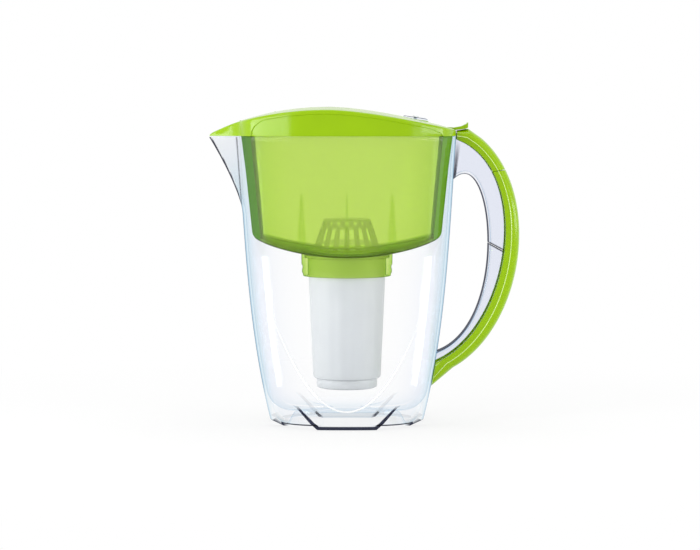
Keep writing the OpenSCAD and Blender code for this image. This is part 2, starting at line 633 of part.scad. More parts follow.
module flap_pin() cross_pin(flap_pin_x, flap_pin_z, flap_pin_half);

// ---------- flip lid ----------

dial_z = lid_top(dial_x, 0);
scale_t = 0.6;
dial_pocket_r = dial_r + 0.5;
dial_floor = -2;               // depth of the dial's pocket below the lid's surface
boss_wall = 1.4;               // thickness under that pocket
boss_h = 2.3;                  // height of the boss that holds it
rivet_r = 1.5;
rivet_head_r = 3;

module dial_place()
    translate([dial_x, 0, dial_z]) rotate([0, dial_tilt, 0]) children();

function hatch_ring(share, drop) = [for (phi = [0:6:354])
    let (x = hatch_mid_x + share * hatch_hl * sign(cos(phi)) * abs(cos(phi))^(2 / hatch_power),
        y = share * hatch_half * sign(sin(phi)) * abs(sin(phi))^(2 / hatch_power))
    [x, y, lid_top(x, y) - drop]];

module hatch() color(green) {
    shares = [0.03, 0.4, 0.72, 1];
    difference() {
        union() {
            skin(concat([for (s = shares) hatch_ring(s, lid_wall)],
                [for (s = flip(shares)) hatch_ring(s, 0)]));
            dial_place() translate([0, 0, dial_floor - boss_wall]) cylinder(r = dial_pocket_r + 1.6, h = boss_h);
            translate([hatch_pin_x, 0, hatch_pin_z]) rotate([90, 0, 0])
                cylinder(r = barrel_r, h = 2 * barrel_half, center = true);
            translate([hatch_pin_x, -barrel_half, hatch_pin_z]) cube([5, 2 * barrel_half, barrel_r - 0.1]);
            thumb_tab();
        }
        dial_place() translate([0, 0, dial_floor]) cylinder(r = dial_pocket_r, h = 20);
        dial_place() translate([0, 0, -10]) cylinder(r = rivet_r + 0.1, h = 20);
        pin_bore(hatch_pin_x, hatch_pin_z, 2 * barrel_half);
    }
}

module thumb_tab() {
    tip_x = rim_hl + tab_reach;
    rotate([90, 0, 0])
        linear_extrude(height = 2 * tab_half, center = true)
            polygon([[hatch_end_x - 8, crown(hatch_end_x - 8) - 1.6], [hatch_end_x, tab_low_z + 0.6],
                [rim_hl, tab_low_z], [tip_x, tab_low_z + 1.5], [tip_x, jug_h + tab_h],
                [tip_x - 5.4, tab_low_z + 3.2], [rim_hl - 2, tab_low_z + 2],
                [hatch_end_x, crown(hatch_end_x) - 0.1],
                [hatch_end_x - 8, crown(hatch_end_x - 8) - 0.3]]);
}

module dial_scale()
    color("white") dial_place() translate([0, 0, dial_floor + 0.05])
        difference() {
            cylinder(r = dial_r - 0.2, h = scale_t);
            translate([0, 0, -1]) cylinder(r = rivet_r + 0.2, h = 5);
        }

module dial_cover()
    color(clear_colour) dial_place() translate([0, 0, dial_floor + scale_t + 0.35])
        difference() {
            union() {
                cylinder(r = dial_r, h = dial_h - 0.5);
                translate([0, 0, dial_h - 0.5]) cylinder(r1 = dial_r, r2 = dial_r - 0.5, h = 0.5);
                translate([rivet_head_r + 0.6, -1, dial_h - 0.6]) cube([dial_r - rivet_head_r - 2.1, 2, 1.2]);
            }
            translate([0, 0, -1]) cylinder(r = rivet_r + pin_clear, h = dial_h + 3);
        }

module dial_rivet()
    color("gainsboro") dial_place() translate([0, 0, dial_floor - 2.6]) {
        cylinder(r = rivet_r, h = dial_h + scale_t + 3.5);
        translate([0, 0, dial_h + scale_t + 3.2])
            cylinder(r1 = rivet_head_r, r2 = rivet_head_r - 0.6, h = 0.8);
        cylinder(r = rivet_r + 1.1, h = 0.9);
    }

// ---------- spout cover ----------

// The cover's section along the jug at y: its top, its front edge on the spout's wall, and its underside.
function flap_section(y) =
    let (back = flap_back(y), front = spout_edge_x(y) + 0.4, inner = front + lid_wall,
        top = function (x, drop) [x, y, lid_top(x, y) - drop])
    [top(back, 0), top(mix(back, front, 0.5), 0), top(mix(back, front, 0.85), 0.3), top(front, 1.4),
        [front, y, lid_low_z], [inner, y, lid_low_z], top(inner, lid_wall + 0.4), top(back, lid_wall)];

module spout_flap() color(green) {
    bends = [-1, -0.85, -0.6, -0.3, 0, 0.3, 0.6, 0.85, 1];
    difference() {
        union() {
            skin([for (share = flip(bends)) flap_section(share * flap_half)]);
            translate([flap_pin_x, 0, flap_pin_z]) rotate([90, 0, 0])
                cylinder(r = flap_barrel_r, h = 2 * flap_barrel_half, center = true);
            translate([flap_start_x - 1.5, -flap_barrel_half, flap_pin_z - 0.6])
                cube([flap_pin_x - flap_start_x + 1.5, 2 * flap_barrel_half, 2]);
        }
        pin_bore(flap_pin_x, flap_pin_z, 2 * flap_barrel_half);
    }
}

jug_body();
handle_frame_upper();
handle_frame_lower();
handle_cap();
handle_grip();
hopper();
cartridge_body();
cartridge_seal();
cartridge_cap();
cartridge_base();
inlet_screen();
carbon_bed();
outlet_felt();
lid_frame();
hatch_pin();
flap_pin();
hatch();
dial_scale();
dial_cover();
dial_rivet();
spout_flap();
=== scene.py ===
import math
import bpy
import bmesh
from mathutils import Matrix, Vector


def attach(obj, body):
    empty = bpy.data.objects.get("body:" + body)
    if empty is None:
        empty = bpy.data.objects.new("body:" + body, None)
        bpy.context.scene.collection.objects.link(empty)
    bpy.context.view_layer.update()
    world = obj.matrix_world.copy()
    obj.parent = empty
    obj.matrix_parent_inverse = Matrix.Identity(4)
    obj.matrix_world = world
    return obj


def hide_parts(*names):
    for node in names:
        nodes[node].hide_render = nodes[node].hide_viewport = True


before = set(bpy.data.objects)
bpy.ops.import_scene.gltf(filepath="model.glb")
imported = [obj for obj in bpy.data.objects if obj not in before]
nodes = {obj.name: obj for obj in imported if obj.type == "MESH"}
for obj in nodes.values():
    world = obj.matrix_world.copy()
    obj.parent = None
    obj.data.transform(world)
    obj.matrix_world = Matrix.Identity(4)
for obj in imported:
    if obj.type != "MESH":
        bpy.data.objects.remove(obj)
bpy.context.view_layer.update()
millimetre = 0.001   # shapes are worked out in millimetres and brought to metres when a piece is finished
fine = 1e-4          # distance in millimetres under which two vertices are one


# ---- curves ----

def mix(a, b, t):
    return a + (b - a) * t


def spread(a, b, steps):
    return [mix(a, b, k / steps) for k in range(steps + 1)]


def bezier(points, t):
    s = 1 - t
    return points[0] * s ** 3 + points[1] * (3 * s * s * t) + points[2] * (3 * s * t * t) + points[3] * t ** 3


def smooth(t):
    t = min(1, max(0, t))
    return t * t * (3 - 2 * t)


# ---- meshes ----

def putRing(bm, ring, spots):   # extrudes a closed row of vertices and puts the new row in its places
    edges = [bm.edges.get(pair) for pair in zip(ring, ring[1:] + ring[:1])]
    made = bmesh.ops.extrude_edge_only(bm, edges=edges)["geom"]
    made = {v for v in made if isinstance(v, bmesh.types.BMVert)}
    after = [next(e.other_vert(v) for e in v.link_edges if e.other_vert(v) in made) for v in ring]
    for v, spot in zip(after, spots):
        v.co = spot
    return after


# A loft through rows of places. joined ties the last row to the first, marks names layers for the shaders.
def skin(rings, joined=False, marks=()):
    bm = bmesh.new()
    for mark in marks:
        bm.verts.layers.float.new(mark)
    ring = bmesh.ops.create_circle(bm, segments=len(rings[0]), radius=1)["verts"]
    for v, spot in zip(ring, rings[0]):
        v.co = spot
    loops = [ring]
    for spots in rings[1:]:
        loops.append(putRing(bm, loops[-1], spots))
    if joined:
        putRing(bm, loops[-1], rings[0])
        bmesh.ops.remove_doubles(bm, verts=bm.verts, dist=fine)
    else:
        for end in (loops[0], loops[-1]):
            bmesh.ops.contextual_create(bm, geom=[bm.edges.get(pair) for pair in zip(end, end[1:] + end[:1])])
    bmesh.ops.recalc_face_normals(bm, faces=bm.faces)
    return bm, loops


def turned(profile, steps=96):   # spins a closed outline of (radius, height) pairs round the upright axis
    bm = bmesh.new()
    row = [bm.verts.new((r, 0, z)) for r, z in profile]
    edges = [bm.edges.new(pair) for pair in zip(row, row[1:] + row[:1])]
    bmesh.ops.spin(bm, geom=row + edges, angle=2 * math.pi, steps=steps, axis=(0, 0, 1), cent=(0, 0, 0),
                   use_merge=True)
    bmesh.ops.remove_doubles(bm, verts=bm.verts, dist=fine)
    bmesh.ops.recalc_face_normals(bm, faces=bm.faces)
    return bm


def prism(outline, half):   # an outline of (x, z) pairs, extruded to both sides of the plane y = 0
    bm = bmesh.new()
    face = bm.faces.new([bm.verts.new((x, -half, z)) for x, z in outline])
    made = bmesh.ops.extrude_face_region(bm, geom=[face])["geom"]
    far = [v for v in made if isinstance(v, bmesh.types.BMVert)]
    bmesh.ops.translate(bm, verts=far, vec=(0, 2 * half, 0))
    bmesh.ops.recalc_face_normals(bm, faces=bm.faces)
    return bm


def soften(bm, width, angle=30, segments=2):   # rounds every edge that is sharper than the angle
    sharp = [e for e in bm.edges if len(e.link_faces) == 2 and e.calc_face_angle(0) > math.radians(angle)]
    bmesh.ops.bevel(bm, geom=sharp, offset=width, segments=segments, profile=0.5, affect="EDGES", material=-1,
                    clamp_overlap=True)
    return bm


def block(wide, deep, high):   # a box round the origin
    bm = bmesh.new()
    bmesh.ops.create_cube(bm, size=1)
    bmesh.ops.scale(bm, vec=(wide, deep, high), verts=bm.verts)
    return bm


def meshFrom(bm, name):   # a new mesh from a bmesh, which is freed
    mesh = bpy.data.meshes.new(name)
    bm.to_mesh(mesh)
    bm.free()
    return mesh


def addObject(name, data):
    made = bpy.data.objects.new(name, data)
    bpy.context.scene.collection.objects.link(made)
    return made


def addTo(bm, other):   # adds a second mesh as an island and frees it
    mesh = meshFrom(other, "island")
    bm.from_mesh(mesh)
    bpy.data.meshes.remove(mesh)


def cadCopy(node):   # the CAD node's mesh in millimetres, with its loose triangles merged into faces
    bm = bmesh.new()
    bm.from_mesh(nodes[node].data)
    bmesh.ops.scale(bm, vec=(1 / millimetre,) * 3, verts=bm.verts)
    bmesh.ops.remove_doubles(bm, verts=bm.verts, dist=fine)
    bmesh.ops.dissolve_limit(bm, angle_limit=math.radians(1), verts=bm.verts, edges=bm.edges)
    return bm


def finishPiece(bm, name, body, finishes, stands=(), angle=35):
    bmesh.ops.scale(bm, vec=(millimetre,) * 3, verts=bm.verts)
    mesh = meshFrom(bm, name)
    mesh.shade_smooth()
    mesh.set_sharp_from_angle(angle=math.radians(angle))
    piece = addObject(name, mesh)
    for finish in finishes:
        mesh.materials.append(finish)
    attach(piece, body)
    if stands:
        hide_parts(*stands)
    print("made", name, len(mesh.polygons), "faces")
    return piece


# ---- materials ----

def linear(code):   # an sRGB hex colour as linear red, green, blue, alpha
    parts = [int(code[i:i + 2], 16) / 255 for i in (1, 3, 5)]
    return tuple(c / 12.92 if c <= 0.04045 else ((c + 0.055) / 1.055) ** 2.4 for c in parts) + (1,)


def grey(value):
    return (value, value, value, 1)


def addNode(tree, kind, inputs=None, stops=None, **settings):   # a node with its settings, values and links
    node = tree.nodes.new(kind)
    for key, value in settings.items():
        setattr(node, key, value)
    for key, value in (inputs or {}).items():
        if isinstance(value, bpy.types.NodeSocket):
            tree.links.new(value, node.inputs[key])
        else:
            node.inputs[key].default_value = value
    if stops:
        elements = node.color_ramp.elements
        while len(elements) < len(stops):
            elements.new(0.5)
        for element, (place, code) in zip(elements, stops):
            element.position, element.color = place, linear(code)
    return node


def newMaterial(name):
    material = bpy.data.materials.new(name)
    material.use_nodes = True
    material.node_tree.nodes.clear()
    return material, material.node_tree


def finished(material, surface):
    addNode(material.node_tree, "ShaderNodeOutputMaterial", {"Surface": surface.outputs[0]})
    return material


def objectPlace(tree):   # places on the piece, in metres
    return addNode(tree, "ShaderNodeTexCoord").outputs["Object"]


def layer(tree, name):   # a value that the mesh carries at its vertices
    return addNode(tree, "ShaderNodeAttribute", attribute_name=name).outputs["Fac"]


def noise(tree, scale, detail):   # soft noise on the piece, with so many patches to the metre
    return addNode(tree, "ShaderNodeTexNoise", {
        "Vector": objectPlace(tree), "Scale": scale, "Detail": detail}).outputs["Fac"]


def calc(tree, operation, first, second, **settings):
    return addNode(tree, "ShaderNodeMath", {0: first, 1: second}, operation=operation, **settings).outputs[0]


def between(tree, value, low, high, **more):   # brings a value from its own range to low ... high
    inputs = {"Value": value, "To Min": low, "To Max": high}
    inputs.update({key.replace("from", "From "): number for key, number in more.items()})
    return addNode(tree, "ShaderNodeMapRange", inputs).outputs[0]


def blend(tree, factor, first, second):   # two colours, each a hex code or a socket
    first, second = [linear(c) if isinstance(c, str) else c for c in (first, second)]
    return addNode(tree, "ShaderNodeMix", {"Factor": factor, "A": first, "B": second},
                   data_type="RGBA").outputs["Result"]


def cast(tree, stops):   # a colour that follows how far the face turns away from the eye
    facing = addNode(tree, "ShaderNodeLayerWeight", {"Blend": 0.5}).outputs["Facing"]
    return addNode(tree, "ShaderNodeValToRGB", {"Fac": facing}, stops=stops).outputs["Color"]


def bumps(tree, height, strength, distance, **settings):
    return addNode(tree, "ShaderNodeBump", {"Height": height, "Strength": strength, "Distance": distance},
                   **settings).outputs["Normal"]


def plastic(tree, colour, roughness, **more):   # further inputs by their names, with _ for each blank
    inputs = {"Base Color": colour, "Roughness": roughness}
    inputs.update({key.replace("_", " "): value for key, value in more.items()})
    return addNode(tree, "ShaderNodeBsdfPrincipled", inputs)


def veiled(tree, colour, share, body):   # light goes straight through in a colour, but for the body's share
    seen = addNode(tree, "ShaderNodeBsdfTransparent", {"Color": colour})
    return addNode(tree, "ShaderNodeMixShader", {0: share, 1: seen.outputs[0], 2: body.outputs[0]})


# Clear styrene acrylonitrile, polished: a faint lavender cast, pale cyan where the wall turns away, deep blue
# where light runs along inside it. A vertex attribute marks the thick moulded edges, where that deep blue is
# painted in as dark edge shade, strong on the near side and faint on the far one. innerSide marks faces that
# stay pale, as the far feet do.
def clearSan(name, plain="#FFFFFF", wall="#FBFCFE"):
    material, tree = newMaterial(name)
    outerCast = cast(tree, [(0.0, plain), (0.45, wall), (0.76, "#F3F9FC"), (0.91, "#D8EAF4"),
                            (0.968, "#86A6BF"), (1.0, "#3E5876")])
    innerCast = cast(tree, [(0.0, plain), (0.45, wall), (0.85, "#F5F9FC"), (1.0, "#E4EFF6")])
    height = addNode(tree, "ShaderNodeSeparateXYZ", {"Vector": objectPlace(tree)}).outputs["Z"]
    low = between(tree, height, 1.0, 0.0, fromMin=0.022, fromMax=0.034)
    behind = addNode(tree, "ShaderNodeNewGeometry").outputs["Backfacing"]
    pale = calc(tree, "MAXIMUM", layer(tree, "innerSide"), calc(tree, "MULTIPLY", behind, low))
    # painted shade: marked edges are drawn in dark blue #171C3A, much weaker on faces seen from behind
    line = calc(tree, "MULTIPLY", layer(tree, "thickEdgeShade"), between(tree, behind, 1.0, 0.15))
    deep = blend(tree, line, blend(tree, pale, outerCast, innerCast), "#171C3A")
    swells = bumps(tree, noise(tree, 26.0, 1.0), 0.05, 0.001)   # 38 mm
    gloss = addNode(tree, "ShaderNodeBsdfGlossy", {"Color": grey(0.9), "Roughness": 0.05, "Normal": swells})
    fresnel = addNode(tree, "ShaderNodeFresnel", {"IOR": 1.4, "Normal": swells}).outputs["Fac"]
    share = calc(tree, "MINIMUM", calc(tree, "MULTIPLY", fresnel, 0.22), 0.07)
    return finished(material, veiled(tree, deep, share, gloss))


# A polished raised bead in the clear wall, drawn milky white: a painted highlight for the white light it
# catches along its back.
def clearBeadHighlight(name):
    material, tree = newMaterial(name)
    swells = bumps(tree, noise(tree, 60.0, 1.0), 0.04, 0.0005)   # 17 mm
    body = plastic(tree, linear("#FFFFFF"), 0.45, Normal=swells)
    return finished(material, veiled(tree, grey(1.0), 0.6, body))


# Moulded lime ABS with a polished skin: even, strong colour, clean highlights, a barely uneven gloss. A
# vertex attribute marks the fine ridges along the handle, where a pale highlight is painted into the colour.
def limeAbs(name):
    material, tree = newMaterial(name)
    flow = noise(tree, 40.0, 2.0)   # 25 mm flow marks
    # painted highlight: the marked ridges are drawn pale #E2F7A6
    tone = blend(tree, layer(tree, "crest"), blend(tree, flow, "#88AE00", "#8EB600"), "#E2F7A6")
    peel = bumps(tree, noise(tree, 900.0, 1.0), 0.03, 0.0002)   # 1.1 mm orange peel
    return finished(material, plastic(tree, tone, between(tree, flow, 0.13, 0.18), IOR=1.5,
                                      Specular_IOR_Level=0.2, Normal=peel))


# Translucent lime styrene acrylonitrile: light goes through in yellow green, and darkens where the wall turns
# away. A vertex attribute marks its lower edge, where deep green is painted in as dark edge shade, fainter on
# the far side.
def limeTint(name, face="#F3FAD3", wall="#ECF6C2", sideways="#CFE790", milk=0.13):
    material, tree = newMaterial(name)
    through = cast(tree, [(0.0, face), (0.5, wall), (0.8, sideways), (1.0, "#4E8418")])
    behind = addNode(tree, "ShaderNodeNewGeometry").outputs["Backfacing"]
    # painted shade: the marked lower edge is drawn in deep green #2E5F0C
    line = calc(tree, "MULTIPLY", layer(tree, "thickEdgeShade"), between(tree, behind, 1.0, 0.3))
    swells = bumps(tree, noise(tree, 30.0, 1.0), 0.05, 0.001)   # 33 mm
    body = plastic(tree, linear("#BBDD4C"), 0.18, IOR=1.5, Specular_IOR_Level=0.34, Normal=swells)
    return finished(material, veiled(tree, blend(tree, line, through, "#2E5F0C"), milk, body))


# The same plastic at the funnel's two ends, where the eye looks along the wall: deep, nearly opaque green,
# darkest at the spout's end.
def limeEnds(name):
    material, tree = newMaterial(name)
    along = addNode(tree, "ShaderNodeSeparateXYZ", {"Vector": objectPlace(tree)}).outputs["X"]
    along = between(tree, along, 0.0, 1.0, fromMin=-0.09, fromMax=0.09)
    # painted shade: the marked lower edge is drawn in deep green #2E5F0C
    tone = blend(tree, layer(tree, "thickEdgeShade"), blend(tree, along, "#447A08", "#6A9E24"), "#2E5F0C")
    sheen = between(tree, noise(tree, 30.0, 1.0), 0.4, 0.55)   # 33 mm swells
    body = plastic(tree, tone, sheen, Specular_IOR_Level=0.0)
    return finished(material, veiled(tree, linear("#9CC45A"), 0.88, body))


# Natural white polypropylene, satin moulded: soft, slightly cool, a little waxy, and milky where it is thin.
def whitePolypropylene(name, through=0.0):
    material, tree = newMaterial(name)
    tone = blend(tree, noise(tree, 60.0, 2.0), "#C5C9CC", "#CED1D3")   # 17 mm clouds
    grain = bumps(tree, noise(tree, 1400.0, 1.0), 0.05, 0.0002)   # 0.7 mm
    body = plastic(tree, tone, 0.42, IOR=1.49, Normal=grain)
    if through:
        seen = addNode(tree, "ShaderNodeBsdfTransparent", {"Color": grey(0.96)})
        body = addNode(tree, "ShaderNodeMixShader", {0: through, 1: body.outputs[0], 2: seen.outputs[0]})
    return finished(material, body)


# Soft thermoplastic rubber, moulded: dull grey with a fine matt grain.
def sealRubber(name):
    material, tree = newMaterial(name)
    grain = noise(tree, 1600.0, 2.0)   # 0.6 mm
    tone = blend(tree, grain, "#B9BBBC", "#CBCDCE")
    return finished(material, plastic(tree, tone, 0.7, Normal=bumps(tree, grain, 0.2, 0.0002)))


# Activated coconut carbon with white resin beads: black angular grains of about 1.2 mm, some of them pale.
def carbonGrains(name):
    material, tree = newMaterial(name)
    grains = addNode(tree, "ShaderNodeTexVoronoi", {"Vector": objectPlace(tree), "Scale": 830.0})
    pale = calc(tree, "GREATER_THAN", grains.outputs["Color"], 0.86)
    edges = bumps(tree, grains.outputs["Distance"], 0.8, 0.0006, invert=True)
    return finished(material, plastic(tree, blend(tree, pale, "#26272A", "#D9D6CC"), 0.55, Normal=edges))


# Needled polyester fleece: white and matt, with crossing strands about 3 mm long and 0.4 mm thick.
def whiteFleece(name):
    material, tree = newMaterial(name)
    along = addNode(tree, "ShaderNodeMapping", {"Vector": objectPlace(tree), "Scale": (1.0, 8.0, 8.0)})
    fibres = addNode(tree, "ShaderNodeTexNoise", {
        "Vector": along.outputs[0], "Scale": 300.0, "Detail": 4.0, "Distortion": 1.5}).outputs["Fac"]
    tone = blend(tree, fibres, "#D8D7D0", "#F2F1EC")
    fluff = bumps(tree, fibres, 0.5, 0.0004)
    return finished(material, plastic(tree, tone, 0.95, Sheen_Weight=0.4, Normal=fluff))


# Woven nylon screen: threads each way, drawn 1.6 mm apart so that they show; the real ones are finer.
def wovenScreen(name):
    material, tree = newMaterial(name)
    threads = [addNode(tree, "ShaderNodeTexWave", {"Vector": objectPlace(tree), "Scale": 195.0},
                       wave_type="BANDS", bands_direction=way).outputs["Fac"] for way in ("X", "Y")]
    weave = calc(tree, "MAXIMUM", *threads)
    tone = blend(tree, weave, "#8F979B", "#EDF0F1")
    return finished(material, plastic(tree, tone, 0.5, Normal=bumps(tree, weave, 0.6, 0.0003)))


# Drawn stainless steel wire: bright, with fine lines along its length.
def drawnSteel(name):
    material, tree = newMaterial(name)
    along = addNode(tree, "ShaderNodeMapping", {"Vector": objectPlace(tree), "Scale": (30.0, 1.0, 30.0)})
    lines = addNode(tree, "ShaderNodeTexNoise", {"Vector": along.outputs[0], "Scale": 120.0, "Detail": 2.0})
    rough = between(tree, lines.outputs["Fac"], 0.22, 0.4)
    return finished(material, plastic(tree, linear("#C9CBCD"), rough, Metallic=1.0))


# Pad printing under the dial, matt. A 0.8 mm mottle towards white leaves the card white and the ink pale.
def printedDisc(name, colour):
    material, tree = newMaterial(name)
    tone = blend(tree, noise(tree, 1200.0, 2.0), colour, "#FFFFFF")
    return finished(material, plastic(tree, tone, 0.6))


clear = clearSan("clearSanPolished")
clearHandle = clearSan("clearSanHandle", "#F8F9FC", "#F5F6FB")
lime = limeAbs("limeAbsMoulded")
tint = limeTint("limeTintMoulded")
tintRib = limeTint("limeTintThin", "#FCFEF4", "#F8FCE6", "#EAF5C8", 0.03)
tintEnds = limeEnds("limeTintEnds")
white = whitePolypropylene("whitePolypropyleneSatin")
whiteThin = whitePolypropylene("whitePolypropyleneThin", 0.8)
rubber = sealRubber("greySealRubber")
carbon = carbonGrains("carbonGrains")
fleece = whiteFleece("whiteFleece")
screen = wovenScreen("wovenNylonScreen")
steel = drawnSteel("drawnStainlessSteel")
card = printedDisc("printedWhiteCard", "#F4F5F5")
ink = printedDisc("darkBlueInk", "#23304F")
beadHighlight = clearBeadHighlight("clearSanBeadHighlight")
print("materials ready")

# ---- jug ----

jug = {   # lengths in millimetres
    "height": 245, "rimLength": 185, "rimDepth": 145, "footLength": 128, "wall": 2.4, "rimRound": 0.8,
    "squareness": 2.8, "bellyOut": 20.9, "shoulderIn": 5.6, "curveLow": 80, "curveHigh": 80,
    "floor": 13, "floorRound": 16, "hollowTop": 9, "hollowIn": 5, "middleHole": 4, "footLand": 4.5,
    "frontFoot": 26, "frontFootTop": 44, "sideFoot": 20, "sideFootTop": 31, "footEdge": 21,
    "scoop": 5, "cornerLift": 2.6, "sideBevel": 9, "bevelHeight": 5.4,
    "spoutOut": 24.8, "spoutRoot": 180, "spoutHalf": 30, "spoutSweep": 1.4, "beakPower": 1.5,
    "edgeGap": math.radians(0.8), "edgeLine": math.radians(1.1),
    # widths, heights and strengths of the painted dark edge shade on the outer face
    "footBand": 2.9, "cornerBand": 1.2, "sideLine": 11, "lineLow": 5.2, "lineHigh": 3.2,
    "beakLine": 1.6, "beakHalf": 9, "rootLine": 1, "lineStart": 2, "lineFade": 9,
    "footShade": 0.97, "beakShade": 0.95, "rootShade": 0.85,
}
beakSteps = [0, 0.7, 1.4, 2.2] + spread(3.4, 17, 8) + spread(18, jug["spoutHalf"], 14)
rimHalf = jug["rimLength"] / 2
rimDeep = jug["rimDepth"] / 2
depthShare = jug["rimDepth"] / jug["rimLength"]
footHalf = jug["footLength"] / 2
sideOut = [footHalf, footHalf + jug["bellyOut"], rimHalf - jug["shoulderIn"], rimHalf]
sideUp = [0, jug["curveLow"], jug["height"] - jug["curveHigh"], jug["height"]]


def wallHalf(z):   # half length of the jug at a height, from the side's curve
    low, high = 0, 1
    for _ in range(24):
        middle = (low + high) / 2
        if bezier(sideUp, middle) < z:
            low = middle
        else:
            high = middle
    return bezier(sideOut, (low + high) / 2)


def ovalPoint(a, b, phi):
    power = 2 / jug["squareness"]
    return a * abs(math.cos(phi)) ** power, b * abs(math.sin(phi)) ** power


def phiAtY(y, b):
    return math.asin(min(1, y / b) ** (jug["squareness"] / 2))


def phiAtX(x, a):
    return math.acos(min(1, x / a) ** (jug["squareness"] / 2))


# Four mirrored quarters of (angle, mark), with the signs of x and y.
def allRound(handleQuarter, spoutQuarter):
    there = [(phi, mark, 1, 1) for phi, mark in handleQuarter]
    there += [(phi, mark, -1, 1) for phi, mark in reversed(spoutQuarter[:-1])]
    back = [(phi, mark, -1, -1) for phi, mark in spoutQuarter[1:]]
    return there + back + [(phi, mark, 1, -1) for phi, mark in reversed(handleQuarter[1:-1])]


def beak(share):
    return max(0, 1 - share) ** jug["beakPower"]


def spoutReach(z):   # how far the spout stands out from the wall at a height
    lift = max(0, (z - jug["spoutRoot"]) / (jug["height"] - jug["spoutRoot"])) ** jug["spoutSweep"]
    return jug["spoutOut"] * lift


def jugStations(z):
    rise = min(1, max(0, z) / jug["footEdge"])
    at = wallHalf(min(z, jug["footEdge"]))
    side = phiAtY(mix(jug["sideFoot"], jug["sideFootTop"], rise), at * depthShare)
    front = phiAtX(mix(jug["frontFoot"], jug["frontFootTop"], rise), at)
    gap, line = jug["edgeGap"], jug["edgeLine"]
    spoutPhi = phiAtY(jug["spoutHalf"] / rimDeep, 1)
    corner = [(side - line, "plain"), (side, "edge"), (side + gap, "cornerEdge")]
    corner += [(phi, "corner") for phi in spread(side + gap + line, front - gap - line, 10)]
    corner += [(front - gap, "cornerEdge"), (front, "edge")]
    corner += [(phi, "plain") for phi in spread(front + gap / 2, front + 6.5 * gap, 13)]
    corner += [(phi, "plain") for phi in spread(front + 9 * gap, math.pi / 2, 12)]
    handle = [(phi, "plain") for phi in spread(0, side - 2 * line, 10)]
    reach = min(spoutPhi, side - 4 * line)
    spout = [(phiAtY(y / rimDeep, 1) * reach / spoutPhi, "plain") for y in beakSteps]
    spout += [(phi, "plain") for phi in spread(reach, side - 2 * line, 5)[1:]]
    return allRound(handle + corner, spout + corner)


def jugRing(z, inset=0, under=False):
    a = wallHalf(z)
    b = a * depthShare
    dip = 1 - min(1, max(0, z) / jug["footEdge"])
    low = 1 - min(1, max(0, z) / jug["bevelHeight"])
    spots = []
    for phi, mark, sx, sy in jugStations(z):
        side = phi < math.radians(30) and not mark.startswith("corner")
        bevel = low * jug["sideBevel"] * (1 if side else 1 / 3)
        inCorner = mark.startswith("corner")
        cut = inset if under else inset + bevel + (jug["scoop"] * dip if inCorner else 0)
        x, y = ovalPoint(a - cut, b - cut, phi)
        out = spoutReach(z) * beak(y / (jug["spoutHalf"] * b / rimDeep)) if sx < 0 else 0
        spots.append(Vector((sx * (x + out), sy * y, z + (jug["cornerLift"] * dip if inCorner else 0))))
    return spots


# How much painted dark blue edge shade a place of the outer face gets: along the feet, the spout's leading
# edge and the spout's root.
def edgeShade(spot, z, phi, sidePhi, footPhi, spoutSide):
    tone = 0
    onFoot = phi > footPhi - jug["edgeGap"] - fine
    if phi < sidePhi + fine:
        if z <= jug["bevelHeight"] and abs(spot.y) > jug["sideLine"]:
            tone = jug["footShade"]
    elif z <= (jug["footBand"] if onFoot else jug["cornerBand"]):
        tone = jug["footShade"]
    if phi > footPhi + fine and z < jug["footEdge"]:   # the step beside the foot stays clear
        if (phi - footPhi) * wallHalf(z) < mix(jug["lineLow"], jug["lineHigh"], z / jug["footEdge"]):
            tone = jug["footShade"]
    if spoutSide:
        rise = smooth((z - jug["spoutRoot"] - jug["lineStart"]) / jug["lineFade"])
        if abs(spot.y) < jug["beakHalf"]:
            if wallHalf(z) + spoutReach(z) + spot.x < jug["beakLine"]:
                tone = max(tone, jug["beakShade"] * rise)
        else:
            away = min(1, abs(spot.x + wallHalf(z)) / jug["rootLine"])
            tone = max(tone, jug["rootShade"] * rise * (1 - away))
    return tone


